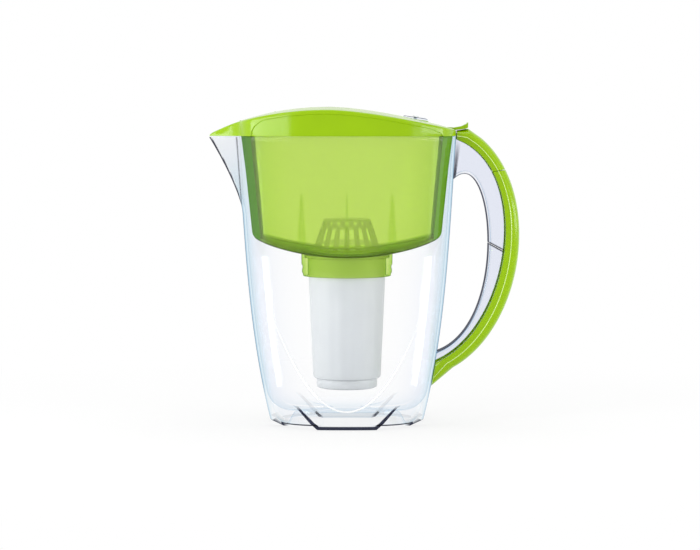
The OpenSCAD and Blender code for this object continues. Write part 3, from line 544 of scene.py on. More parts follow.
def makeJug():
    wall, rim, top = jug["wall"], jug["rimRound"], jug["height"]
    levels = [0, 0.6, 1.2, 1.7, 2.3, 2.9, 3.4, jug["bevelHeight"], 6, 9, 13, 17, jug["footEdge"]]
    levels += spread(jug["footEdge"], jug["spoutRoot"], 20)[1:] + spread(jug["spoutRoot"], top - rim, 20)[1:]
    middle = footHalf * depthShare - jug["middleHole"]
    land = jug["sideBevel"] + jug["footLand"]
    edge = land + jug["hollowIn"]
    hollow = [[Vector((p.x, p.y, jug["hollowTop"])) for p in jugRing(0, cut, True)]
              for cut in (middle, mix(middle, edge, 0.5), edge)]
    standing = [jugRing(0, land, True)]
    outside = [jugRing(z) for z in levels]
    lip = [jugRing(top - rim * (1 - math.sin(t)), rim * (1 - math.cos(t)))
           for t in spread(0, math.pi / 2, 3)[1:]]
    lip += [jugRing(top - rim * (1 - math.cos(t)), wall - rim * (1 - math.sin(t)))
            for t in spread(0, math.pi / 2, 3)]
    high = [z for z in reversed(levels) if z > jug["floor"] + jug["floorRound"] + 2]
    inside = [jugRing(z, wall) for z in high]
    bowl = [jugRing(jug["floor"] + jug["floorRound"] * (1 - math.sin(t)),
                    wall + jug["floorRound"] * (1 - math.cos(t)), True) for t in spread(0, math.pi / 2, 8)]
    flat = [jugRing(jug["floor"], cut, True) for cut in spread(wall + jug["floorRound"], middle, 3)[1:]]
    rings = hollow + standing + outside + lip + inside + bowl + flat
    bm, loops = skin(rings, marks=("thickEdgeShade", "innerSide"))
    thick, inner = bm.verts.layers.float["thickEdgeShade"], bm.verts.layers.float["innerSide"]
    firstOut = len(hollow) + len(standing)
    lastOut = firstOut + len(outside) + 3
    for number, loop in enumerate(loops):
        z = levels[number - firstOut] if firstOut <= number < firstOut + len(outside) else None
        stations = jugStations(z or 0)
        edges = [phi for phi, mark, _, _ in stations if mark == "edge"]
        for v, (phi, mark, sx, _) in zip(loop, stations):
            step = "dge" in mark and z is not None and z < jug["footEdge"]   # the small step at a foot's side
            v[inner] = 0 if firstOut <= number <= lastOut and not step else 1
            # the outer rings carry the painted dark edge shade
            if z is not None:
                v[thick] = edgeShade(v.co, z, phi, min(edges), max(edges), sx < 0)
    return finishPiece(bm, "jug", "jug", [clear], ["jug_body"], angle=40)


# The raised line that runs down one side of the front, under the cartridge and up the other side.
jugLine = {
    "lowest": 16, "curve": 0.0208, "reach": 68.5, "radius": 0.9, "sunk": 0.3, "steps": 140, "fade": 36,
}


def makeJugLine():
    path = []
    for x in spread(-jugLine["reach"], jugLine["reach"], jugLine["steps"]):
        z = jugLine["lowest"] + jugLine["curve"] * x * x
        a = wallHalf(z)
        y = a * depthShare * (1 - (abs(x) / a) ** jug["squareness"]) ** (1 / jug["squareness"])
        path.append(Vector((x, jugLine["sunk"] - y, z)))
    rings = []
    for k, spot in enumerate(path):
        way = (path[min(k + 1, len(path) - 1)] - path[max(k - 1, 0)]).normalized()
        out = Vector((spot.x / rimHalf ** 2, spot.y / rimDeep ** 2, 0)).normalized()
        out = (out - way * out.dot(way)).normalized()
        across = way.cross(out)
        size = jugLine["radius"] * max(0.12, smooth(min(k, len(path) - 1 - k) / jugLine["fade"]))
        rings.append([spot + out * math.cos(t) * size + across * math.sin(t) * size
                      for t in spread(0, 2 * math.pi, 8)[:-1]])
    return finishPiece(skin(rings)[0], "jug_front_line", "jug", [beadHighlight], angle=60)


makeJug()
makeJugLine()

# ---- handle ----

handle = {   # lengths in millimetres, seams and lines as shares of the curve
    "reach": 53.6, "gripWidth": 25, "frameWidth": 20, "gripWall": 2.6, "frameWall": 2.4, "touch": 0.4,
    "capIn": 43.2, "capRise": 6.4, "capFootRise": 5, "backAim": (25.2, -33.2), "backLowAim": (8.6, 78.2),
    "tipIn": 60.3, "gripTip": 32.5, "tipRise": 13.2,
    "innerDrop": 2.6, "innerAim": (12.5, -27), "innerLowAim": (-5, 81.7), "innerFootDrop": 9.2,
    "fingerDrop": 36, "fingerAim": (-21.8, -4.2), "fingerLowAim": (-6.7, 85.8), "fingerFoot": 62.5,
    "spine": 7, "spinePower": 0.87, "ridge": 0.45, "deepSection": 14, "frameRound": 3, "seatGap": 0.3,
    "capSeam": 0.205, "frameSeam": 0.507, "seamGap": 0.0015, "gripEnd": 0.975, "seamLine": 0.006,
    "fingerLine": 0.5, "shadowWedge": 24,   # these two in millimetres again
}
gripX = rimHalf + handle["reach"]
footZ = handle["fingerFoot"]


def planePoint(x, z):
    return Vector((x, 0, z))


def fromRim(x, z):   # a place given from the grip's outermost line and the rim
    return planePoint(gripX + x, jug["height"] + z)


def fromTable(x, z):   # a place given from the grip's outermost line and the table
    return planePoint(gripX + x, z)


def onWall(z):   # where the handle meets the jug at a height
    return planePoint(wallHalf(z) + handle["touch"], z)


gripOuter = [fromRim(-handle["capIn"], handle["capRise"]), fromRim(*handle["backAim"]),
             fromTable(*handle["backLowAim"]),
             fromTable(-handle["tipIn"], handle["gripTip"] + handle["tipRise"])]
gripInner = [planePoint(wallHalf(jug["height"]) + handle["touch"], jug["height"] - handle["innerDrop"]),
             fromRim(*handle["innerAim"]), fromTable(*handle["innerLowAim"]),
             onWall(footZ - handle["innerFootDrop"])]
fingerEdge = [onWall(jug["height"] - handle["fingerDrop"]), fromRim(*handle["fingerAim"]),
              fromTable(*handle["fingerLowAim"]), onWall(footZ)]


# (depth, side) pairs round a channel with a rounded spine and, where it is deep, two ridges on each flank.
def gripSection(length, half, web, flank):
    spine = min(handle["spine"], 0.55 * length)
    web = min(web, 0.3 * length)
    ridge, power = handle["ridge"], handle["spinePower"]
    outer = [(length, half - 0.5)]
    if length > handle["deepSection"]:
        outer += [(length - 0.5, half), (length - 2.2, half), (length - 2.7, half + ridge * 0.7),
                  (length - 3.2, half)]
    else:
        outer += [(length - d, half) for d in (0.3, 0.5, 0.7, 0.9)]
    outer += [(spine + 1.1, half), (spine + 0.6, half + ridge), (spine + 0.1, half)]
    outer += [(spine * (1 - math.sin(t) ** power), half * math.cos(t) ** power)
              for t in spread(0, math.pi / 2, 9)[1:]]
    outer += [(d, -y) for d, y in reversed(outer[:-1])]
    room = half - flank
    inner = [(length, -room), (spine, -room), (mix(web, spine, 0.5), -room * 0.86), (web, -room * 0.5),
             (web, 0)]
    return outer + inner + [(d, -y) for d, y in reversed(inner[:-1])]


def frameSection(length, half, web, flank):   # the same for the clear frame, with small round corners
    corner = handle["frameRound"]
    outer = [(length, half - 0.4), (length - 0.4, half)]
    outer += [(corner * (1 - math.sin(t)), half - corner * (1 - math.cos(t)))
              for t in spread(0, math.pi / 2, 6)]
    outer += [(d, -y) for d, y in reversed(outer)]
    room = half - flank
    inner = [(length, -room), (web + 1, -room), (web + 0.3, 0.7 - room), (web, 1.4 - room)]
    return outer + inner + [(d, -y) for d, y in reversed(inner)]


def channel(rows, width, wall, section, mark):   # rows are pairs of places: the web and the open side
    rings = []
    for near, far in rows:
        way = (far - near).normalized()
        outline = section((far - near).length, width / 2, wall, wall)
        rings.append([near + way * d + Vector((0, y, 0)) for d, y in outline])
    return skin(rings, marks=[mark])


def gripRows(start, end, steps):
    return [(bezier(gripOuter, u), bezier(gripInner, u)) for u in spread(start, end, steps)]


def frameRows(places):
    rows = []
    for u in places:
        near, far = bezier(fingerEdge, u), bezier(gripInner, u)
        rows.append((near, far - (far - near).normalized() * handle["seatGap"]))
    return rows


def makeHandle():
    touch, tip = handle["touch"], handle["gripTip"]
    capRows = [(planePoint(rimHalf + touch, jug["height"] + handle["capFootRise"]), gripInner[0]),
               (gripOuter[0], bezier(gripInner, 0.04))]
    capRows += gripRows(0.06, handle["capSeam"] - handle["seamGap"], 14)
    gripRowsAll = gripRows(handle["capSeam"] + handle["seamGap"], handle["gripEnd"], 60)
    gripRowsAll += [(onWall(tip), gripInner[3])]
    for name, rows in (("handle_cap_green", capRows), ("handle_grip_green", gripRowsAll)):
        bm = channel(rows, handle["gripWidth"], handle["gripWall"], gripSection, "crest")[0]
        crest = bm.verts.layers.float["crest"]
        # the ridge tops get the painted pale highlight
        for v in bm.verts:
            v[crest] = 1 if abs(v.co.y) > handle["gripWidth"] / 2 + 0.1 else 0
        finishPiece(bm, name, "jug", [lime], [name.replace("_green", "")], angle=28)
    seam, gap, thin = handle["frameSeam"], handle["seamGap"], handle["seamLine"]
    upper = [0, thin, 2 * thin] + spread(3 * thin, seam - gap - thin, 40) + [seam - gap]
    lower = [seam + gap] + spread(seam + gap + thin, 1, 40)
    for name, places in (("handle_frame_upper_clear", upper), ("handle_frame_lower_clear", lower)):
        rows = frameRows(places)
        bm, loops = channel(rows, handle["frameWidth"], handle["frameWall"], frameSection, "thickEdgeShade")
        thick = bm.verts.layers.float["thickEdgeShade"]
        for place, (near, far), loop in zip(places, rows, loops):
            for v in loop:
                depth = (v.co - near).dot((far - near).normalized())
                # painted shade: dark edge lines along the finger edge and the seam rows, and a painted shadow
                # in the first rows of the upper frame where it meets the jug wall
                if place in (seam - gap, seam + gap) or depth < handle["fingerLine"]:
                    v[thick] = 0.93
                elif place <= 2 * thin and depth < handle["shadowWedge"]:
                    v[thick] = 0.8
        finishPiece(bm, name, "jug", [clearHandle], [name.replace("_clear", "")], angle=40)


makeHandle()

# ---- funnel ----

funnel = {   # lengths in millimetres
    "wall": 2, "gap": 0.6, "draft": 3.2, "low": 144.6, "bow": 11.9, "bowAt": 71.5, "edge": 5, "edgeLine": 2.2,
    "flange": 1.6, "flangeOut": 1.4, "panelMargin": 12.5, "panelTaper": 8, "panelStep": 1.2,
    "collar": 38, "collarLow": 126.5, "collarTop": 5.4, "socket": 36.2, "seat": 142, "seatGap": 0.3,
    "cartridge": 32.5, "cartridgeGap": 0.9, "ribs": 6, "ribHeight": 51, "ribOut": 6.5,
    # out from the collar and up from its foot
    "collarSteps": [(-1, 0), (-0.6, 0.4), (-0.4, 2.5), (0.1, 2.8), (0.3, 3.1), (0.3, 5.9), (0.1, 6.3),
                    (-0.2, 6.6), (-0.05, 9), (0.5, 9.5), (0.7, 9.9)],
}
funnelTop = jug["height"] + funnel["seatGap"]
wallIn = rimHalf - wallHalf(funnel["low"] + funnel["bow"])


def funnelLow(x):
    return funnel["low"] + funnel["bow"] * (x / funnel["bowAt"]) ** 2


def funnelRing(share, inset, z=None):
    fit = jug["wall"] + funnel["gap"] + inset
    a = rimHalf - fit - share * (wallIn + funnel["draft"])
    b = rimDeep - fit - share * (wallIn * depthShare + funnel["draft"])
    panel = rimHalf - funnel["panelMargin"] - funnel["panelTaper"] * share
    edge = phiAtX(panel, a + inset)
    gap = jug["edgeGap"]
    ends = [(phi, 1) for phi in spread(0, edge - 2.2 * gap, 12) + [edge - gap]]
    quarter = ends + [(phi, 0) for phi in [edge] + spread(edge + 1.2 * gap, math.pi / 2, 22)]
    spots = []
    for phi, strip, sx, sy in allRound(quarter, quarter):
        cut = funnel["panelStep"] * min(1, share * 3) if strip else 0
        x, y = ovalPoint(a - cut / 2, b - cut, phi)
        spots.append(Vector((sx * x, sy * y, mix(funnelTop, funnelLow(x), share) if z is None else z)))
    return spots


def funnelFloor(inset, reach, lift):
    spots = []
    for p in funnelRing(1, inset):
        hole = Vector((p.x, p.y)).normalized() * (funnel["collar"] - 1.4)
        x, y = mix(p.x, hole.x, reach), mix(p.y, hole.y, reach)
        spots.append(Vector((x, y, funnelLow(x) + lift)))
    return spots


def makeFunnel():
    wall, edge = funnel["wall"], funnel["edge"]
    flangeTop = funnelTop + funnel["flange"]
    outside = [funnelRing(0, -funnel["flangeOut"], z) for z in (flangeTop, funnelTop)]
    outside += [funnelRing(0, 0, funnelTop)]
    outside += [funnelRing(share, 0) for share in spread(0.03, 0.95, 22)]
    outside += [funnelRing(0.972, 0.5), funnelRing(0.988, 1.5), funnelRing(0.997, 3)]
    outside += [funnelFloor(edge, reach, 0) for reach in spread(0, 1, 6)]
    inside = [funnelFloor(edge + wall, reach, wall) for reach in spread(1, 0, 6)]
    inside += [funnelRing(0.95, wall + 0.6)] + [funnelRing(share, wall) for share in spread(0.92, 0.03, 20)]
    inside += [funnelRing(0, wall, flangeTop)]
    bm = skin(outside + inside, joined=True)[0]
    thick = bm.verts.layers.float.new("thickEdgeShade")
    # painted shade: the lower edge near the outer wall is marked for dark edge colour
    for v in bm.verts:
        rise = v.co.z - funnelLow(v.co.x)
        reach = math.hypot(v.co.x / rimHalf, v.co.y / rimDeep)
        if -0.5 < rise < funnel["edgeLine"] and reach > 0.78:
            v[thick] = 1
    for face in bm.faces:
        spot = face.calc_center_median()
        share = (funnelTop - spot.z) / (funnelTop - funnelLow(spot.x))
        panel = rimHalf - funnel["panelMargin"] - funnel["panelTaper"] * share
        if abs(spot.x) > panel + 0.1 and share < 1:
            face.material_index = 1
    collar, seat, socket = funnel["collar"], funnel["seat"], funnel["socket"]
    low, ledge = funnel["collarLow"], funnel["cartridge"] + funnel["cartridgeGap"]
    top = funnel["low"] + funnel["collarTop"]
    profile = [(ledge, low + 0.4), (ledge + 0.4, low)]
    profile += [(collar + out, low + up) for out, up in funnel["collarSteps"]]
    profile += [(collar + 0.9, top - 1), (collar, top), (socket, top), (socket, seat), (ledge, seat)]
    addTo(bm, turned(profile, 128))
    foot, tip = funnel["low"], funnel["low"] + funnel["ribHeight"]
    for number in range(funnel["ribs"]):
        rib = soften(prism([(-4.5, foot + 1.5), (4.5, foot + 4), (0.6, tip), (-0.6, tip)], 0.8), 0.35)
        turn = Matrix.Rotation(math.radians(360 * (number + 0.5) / funnel["ribs"]), 4, "Z")
        out = Matrix.Translation((collar + funnel["ribOut"], 0, 0))
        bmesh.ops.transform(rib, matrix=turn @ out, verts=rib.verts)
        for face in rib.faces:
            face.material_index = 2
        addTo(bm, rib)
    return finishPiece(bm, "funnel", "hopper", [tint, tintEnds, tintRib], ["hopper"], angle=30)


makeFunnel()

# ---- filter cartridge ----

cartridge = {   # lengths in millimetres
    "topRadius": 32.5, "lowRadius": 28.8, "step": 41, "baseRadius": 25.8, "wall": 1.6, "belowCollar": 4.5,
    "flute": 0.35, "flutes": 18, "flangeLow": 144.6, "capLow": 147, "capHeight": 28, "capFoot": 29.5,
    "capTop": 20.3, "windows": 18, "windowHalf": math.radians(5.4),
    "capRows": [2.6, 7.2, 9, 14.5, 20, 22.6, 25.6, 27],   # edges of the windows, up from the cap's foot
}


def makeCartridge():
    c = cartridge
    shoulder = funnel["collarLow"] - c["belowCollar"]
    rim = funnel["socket"] - 0.4
    inTop, inLow = c["topRadius"] - c["wall"], c["lowRadius"] - c["wall"]
    profile = [(c["baseRadius"] - 2, c["step"] - c["wall"]), (c["lowRadius"] - 1.6, c["step"] - c["wall"]),
               (c["lowRadius"] - 0.6, c["step"] - c["wall"] + 0.5), (c["lowRadius"], c["step"] + 0.2)]
    profile += [(mix(c["lowRadius"], c["topRadius"], t), mix(c["step"], shoulder, t))
                for t in spread(0.04, 1, 24)]
    profile += [(c["topRadius"], c["flangeLow"]), (rim - 0.3, c["flangeLow"]), (rim, c["flangeLow"] + 0.4),
                (rim, c["capLow"] - 0.4), (rim - 0.3, c["capLow"]), (inTop, c["capLow"]), (inTop, shoulder),
                (inLow, c["step"]), (c["baseRadius"] - 2, c["step"])]
    body = turned(profile, 192)
    for v in body.verts:   # shallow flutes down the outside
        r = math.hypot(v.co.x, v.co.y)
        if c["step"] + 2 < v.co.z < shoulder and r > inTop * 0.5 + mix(inLow, inTop, 0.5) * 0.5 - 2:
            deep = c["flute"] * (math.cos(c["flutes"] * math.atan2(v.co.y, v.co.x)) - 1) / 2
            v.co.x *= 1 + deep / r
            v.co.y *= 1 + deep / r
    finishPiece(body, "filter_cup", "cartridge", [white], ["cartridge_body"], angle=30)

    # the strainer: one skin of the cap with its windows taken out, then thickened inwards
    foot = c["capLow"]
    turns = []
    for number in range(c["windows"]):
        middle = 2 * math.pi * number / c["windows"]
        half = c["windowHalf"]
        other = 2 * math.pi / c["windows"] - half
        turns += [middle - half, middle, middle + half, middle + mix(half, other, 0.5)]
    rows = [(c["capFoot"] + 2.4, foot + 0.3), (c["capFoot"] + 2.2, foot + c["wall"]),
            (c["capFoot"] + 0.5, foot + c["wall"])]
    rows += [(mix(c["capFoot"], c["capTop"], h / (c["capHeight"] - 1)), foot + h) for h in c["capRows"]]
    rows += [(c["capTop"] - 0.4, foot + c["capHeight"] - 0.2), (c["capTop"] - 1.2, foot + c["capHeight"]),
             (c["capTop"] * 0.5, foot + c["capHeight"])]
    bm, loops = skin([[Vector((r * math.cos(t), r * math.sin(t), z)) for t in turns] for r, z in rows])
    bottom = [f for f in bm.faces if len(f.verts) > 4 and f.calc_center_median().z < foot + 1]
    bmesh.ops.delete(bm, geom=bottom, context="FACES_ONLY")
    row = {v: number for number, loop in enumerate(loops) for v in loop}
    column = {v: number for loop in loops for number, v in enumerate(loop)}
    gone = []
    for f in bm.faces:
        if len(f.verts) != 4:
            continue
        low = min(row[v] for v in f.verts)
        columns = [column[v] for v in f.verts]
        left = max(columns) if max(columns) - min(columns) > 1 else min(columns)
        wide = left % 4 < 2
        if (wide and low in (3, 5, 6)) or (not wide and low == 8):
            gone.append(f)
    bmesh.ops.delete(bm, geom=gone, context="FACES")
    bmesh.ops.recalc_face_normals(bm, faces=bm.faces)
    bmesh.ops.solidify(bm, geom=bm.faces, thickness=c["wall"])
    bmesh.ops.recalc_face_normals(bm, faces=bm.faces)
    soften(bm, 0.25, 50, 1)
    finishPiece(bm, "filter_strainer", "cartridge", [whiteThin], ["cartridge_cap"], angle=30)
    base = soften(cadCopy("cartridge_base"), 0.3, 50, 2)
    finishPiece(base, "filter_outlet", "cartridge", [white], ["cartridge_base"], angle=30)
    felt = soften(cadCopy("outlet_felt"), 0.8, 50, 4)
    finishPiece(felt, "outlet_fleece", "cartridge", [fleece], ["outlet_felt"], angle=60)


makeCartridge()

# ---- lid ----

lid = {   # lengths in millimetres
    "crown": 25, "crownX": -15, "tip": 2, "end": 6.4, "endIn": 2.5, "bendFront": 2.1, "bendBack": 1.6,
    "crossFall": 3.2, "wall": 2.2, "round": 1.6, "lip": 0.9, "inside": 0.3, "partGap": 0.6,
    "panelHalf": 80, "panelCorner": 13, "panelStep": 0.7, "panelTop": 1.6,
    "pinX": -60, "barrel": 2.5, "barrelHalf": 16, "hatchEnd": 84, "hatchHalf": 40, "hatchGap": 0.5,
    "hingeGap": 1.4, "hatchPower": 3, "tabHalf": 10, "tabHeight": 12, "tabReach": 9.9,
    "flapPinX": -86.4, "flapBarrel": 2.2, "flapBarrelHalf": 6, "flapHalf": 16.6, "flapSeam": 6.2,
    "earGap": 0.4, "earWidth": 3,
}
lidLow = jug["height"] + funnel["seatGap"]
lidStep = lidLow + funnel["flange"] + funnel["seatGap"]
lidLong = rimHalf - lid["inside"]
lidDeep = rimDeep - lid["inside"]
crownTop = jug["height"] + lid["crown"]


def crown(x):
    if x < lid["crownX"]:
        reach = (lid["crownX"] - x) / (rimHalf + jug["spoutOut"] + lid["crownX"])
        return crownTop - (lid["crown"] - lid["tip"]) * reach ** lid["bendFront"]
    reach = (x - lid["crownX"]) / (rimHalf - lid["endIn"] - lid["crownX"])
    return crownTop - (lid["crown"] - lid["end"]) * reach ** lid["bendBack"]


def lidTop(x, y):
    return crown(x) - lid["crossFall"] * (y / rimDeep) ** 2


hatchStart = lid["pinX"] + lid["hingeGap"] + 1
hatchMiddle = (hatchStart + lid["hatchEnd"]) / 2
hatchLong = (lid["hatchEnd"] - hatchStart) / 2
straight = lid["flapHalf"] + lid["partGap"] + 0.1
flapHingeHalf = lid["flapBarrelHalf"] + lid["earGap"] + lid["earWidth"] + 0.5
flapStart = lid["flapPinX"] - lid["flapBarrel"] - lid["partGap"]
flapPinZ = lidTop(lid["flapPinX"], 0) - lid["flapBarrel"]
hatchPinZ = lidTop(lid["pinX"], 0) - lid["barrel"]
flapStep = flapPinZ - lid["flapBarrel"] - 1.1
tabLow = jug["height"] + lid["end"] - 1
tabRecess = tabLow - 0.5


def openingY(y):
    if y <= straight:
        return y
    return mix(straight, lid["hatchHalf"] + lid["hatchGap"], ((y - straight) / (lidDeep - straight)) ** 0.6)


def openingX(y, gap):
    share = max(0, 1 - (y / (lid["hatchHalf"] + lid["hatchGap"])) ** lid["hatchPower"])
    return (hatchLong + gap) * share ** (1 / lid["hatchPower"])


def flapBack(y):
    share = max(0, abs(y) - flapHingeHalf) / (lid["flapHalf"] - flapHingeHalf)
    return flapStart - lid["flapSeam"] * share ** 1.6


def lidFront(y):
    return lid["partGap"] + (lid["flapPinX"] + lid["flapBarrel"] if abs(y) <= flapHingeHalf else flapBack(y))


def spoutEdgeX(y):
    share = 1 - (abs(y) / lidDeep) ** jug["squareness"]
    return -lidLong * share ** (1 / jug["squareness"]) - jug["spoutOut"] * beak(abs(y) / jug["spoutHalf"])


def lidSection(phi, mark, sx, sy):
    px, py = ovalPoint(lidLong, lidDeep, phi)
    inY = openingY(py)
    gap = lid["hingeGap"] if sx < 0 else lid["hatchGap"]
    inner = Vector((hatchMiddle + sx * openingX(inY, gap), sy * inY))
    outer = Vector((spoutEdgeX(py) if mark == 2 else sx * px, sy * py))
    most = tabRecess if sx > 0 and mark == 1 else crownTop
    thick, bend = lid["wall"], lid["round"]

    def top(p, drop, wall=0):
        return Vector((p.x, p.y, min(most, lidTop(p.x, p.y) - drop) - wall))

    def inBy(wall, z):
        p = outer * (1 - wall / outer.length)
        return Vector((p.x, p.y, z))

    foot = [Vector((outer.x, outer.y, lidLow)), inBy(lid["lip"], lidLow), inBy(lid["lip"], lidStep),
            inBy(thick, lidStep)]
    if sx < 0 and mark == 1:
        edge = Vector((lidFront(outer.y), outer.y))
        back = Vector((edge.x + thick, edge.y))
        over = [top(inner, 0.6), top(inner.lerp(edge, 0.02), 0.15), top(inner.lerp(edge, 0.05), 0)]
        over += [top(inner.lerp(edge, t), 0) for t in spread(0.1, 0.95, 6)]
        over += [top(inner.lerp(edge, 0.985), 0.15), top(edge, 0.6)]
        shelf = [Vector((mix(edge.x, outer.x, t), outer.y, flapStep)) for t in spread(0, 1, 10)]
        return over + shelf + foot + [
            inBy(thick, flapStep - thick), Vector((back.x, back.y, flapStep - thick)), top(back, 0, thick),
            top(inner.lerp(back, 0.5), 0, thick), top(inner, 0.4, thick)]
    over = [top(inner, 0.6), top(inner.lerp(outer, 0.008), 0.15), top(inner.lerp(outer, 0.02), 0)]
    over += [top(inner.lerp(outer, t), 0) for t in spread(0.1, 0.9, 6)]
    away = (outer - inner).length
    for t in spread(0, math.pi / 2, 5):
        over.append(top(outer.lerp(inner, bend * (1 - math.sin(t)) / away), bend * (1 - math.cos(t))))
    # the front and back panels: a shallow step with rounded upper corners
    rim = over[-1].z
    beside = abs(outer.x) - (lid["panelHalf"] - lid["panelCorner"])
    height = rim - lid["panelTop"] - lidLow
    corner = min(lid["panelCorner"], height)
    if beside <= 0:
        drop = 0
    elif beside < lid["panelCorner"]:
        drop = corner * (1 - math.sqrt(1 - (beside / lid["panelCorner"]) ** 2))
        drop = mix(drop, height, smooth((beside / lid["panelCorner"] - 0.9) / 0.1))
    else:
        drop = height
    border = max(lidLow + 0.2, rim - lid["panelTop"] - drop)
    panelIn = lid["panelStep"] if abs(outer.x) < lid["panelHalf"] and mark == 0 else 0
    face = [inBy(0, mix(rim, border, 0.5)), inBy(0, border), inBy(panelIn, max(lidLow + 0.1, border - 0.35)),
            inBy(panelIn, mix(border, lidLow, 0.5)), inBy(panelIn * 0.5, lidLow + 0.05)]
    return over + face + foot + [
        top(inBy(thick + 0.8, 0), bend, thick), top(inner.lerp(outer, 0.86), 0.3, thick),
        top(inner.lerp(outer, 0.5), 0, thick), top(inner.lerp(outer, 0.2), 0, thick), top(inner, 0.4, thick)]


def hingeEars(bm, x, start, end, half, low, high):
    for side in (-1, 1):
        ear = soften(block(2 * half, end - start, high - low), 0.5)
        bmesh.ops.translate(ear, vec=(x, side * (start + end) / 2, (low + high) / 2), verts=ear.verts)
        addTo(bm, ear)


def makeLid():
    tabEdge = phiAtY(lid["tabHalf"] + 1.4, lidDeep)
    wing = phiAtY(jug["spoutHalf"], lidDeep)
    wide = lid["flapHalf"] + lid["partGap"]
    gap = jug["edgeGap"]
    panelPhi = phiAtX(lid["panelHalf"], lidLong)
    rest = spread(math.radians(1), math.pi / 2, 80)
    near = [panelPhi - 0.012, panelPhi - 0.004, panelPhi + 0.002, panelPhi + 0.006, panelPhi + 0.012,
            panelPhi + 0.02, panelPhi + 0.03]
    rest = sorted([phi for phi in rest if not near[0] - 0.012 < phi < near[-1] + 0.01] + near)
    handleQuarter = [(phi, 1) for phi in spread(0, tabEdge, 6)] + [(tabEdge + gap, 0)]
    handleQuarter += [(phi, 0) for phi in rest if phi > tabEdge + 3 * gap]
    covered = spread(0, flapHingeHalf, 4) + [flapHingeHalf + 0.1] + spread(flapHingeHalf + 0.6, wide, 7)
    spoutQuarter = [(phiAtY(y, lidDeep), 1) for y in covered]
    spoutQuarter += [(phiAtY(y, lidDeep), 2) for y in spread(wide + 0.1, jug["spoutHalf"], 10)]
    spoutQuarter += [(phi, 0) for phi in rest if phi > wing + 0.01]
    sections = [lidSection(*station) for station in allRound(handleQuarter, spoutQuarter)]
    rings = []
    count = max(len(s) for s in sections)
    for section in sections:
        rings.append(section + [section[-1].lerp(section[0], k / (count - len(section) + 1))
                                for k in range(1, count - len(section) + 1)])
    bm = skin(rings, joined=True)[0]
    hingeEars(bm, lid["pinX"], lid["barrelHalf"] + lid["earGap"],
              lid["barrelHalf"] + lid["earGap"] + lid["earWidth"] + 1.8, lid["barrel"] - 0.1,
              hatchPinZ - lid["barrel"], hatchPinZ + 1.6)
    hingeEars(bm, lid["flapPinX"], lid["flapBarrelHalf"] + lid["earGap"], flapHingeHalf - 0.5,
              lid["flapBarrel"] - 0.2, flapStep - 1, flapPinZ + lid["flapBarrel"] - 0.4)
    return finishPiece(bm, "lid_shell", "lid", [lime], ["lid_frame"], angle=32)


makeLid()

# ---- flip lid and its dial ----

dial = {   # lengths in millimetres, the tilt in degrees
    "x": 58, "radius": 10.5, "height": 2.6, "tilt": 9, "floor": -2, "boss": 1.4, "scale": 0.6, "rivet": 1.5,
    "rivetHead": 3, "numbers": 12, "numberSize": 2.6, "figureIn": 2.9, "tickIn": 0.95, "round": 0.9,
}
dialPlace = Matrix.Translation((dial["x"], 0, lidTop(dial["x"], 0))) @ Matrix.Rotation(
    math.radians(dial["tilt"]), 4, "Y")


def barrelPiece(x, z, radius, half):
    bm = bmesh.new()
    bmesh.ops.create_cone(bm, cap_ends=True, segments=40, radius1=radius, radius2=radius, depth=2 * half)
    soften(bm, 0.3, 50)
    bmesh.ops.rotate(bm, cent=(0, 0, 0), matrix=Matrix.Rotation(math.pi / 2, 3, "X"), verts=bm.verts)
    bmesh.ops.translate(bm, vec=(x, 0, z), verts=bm.verts)
    return bm


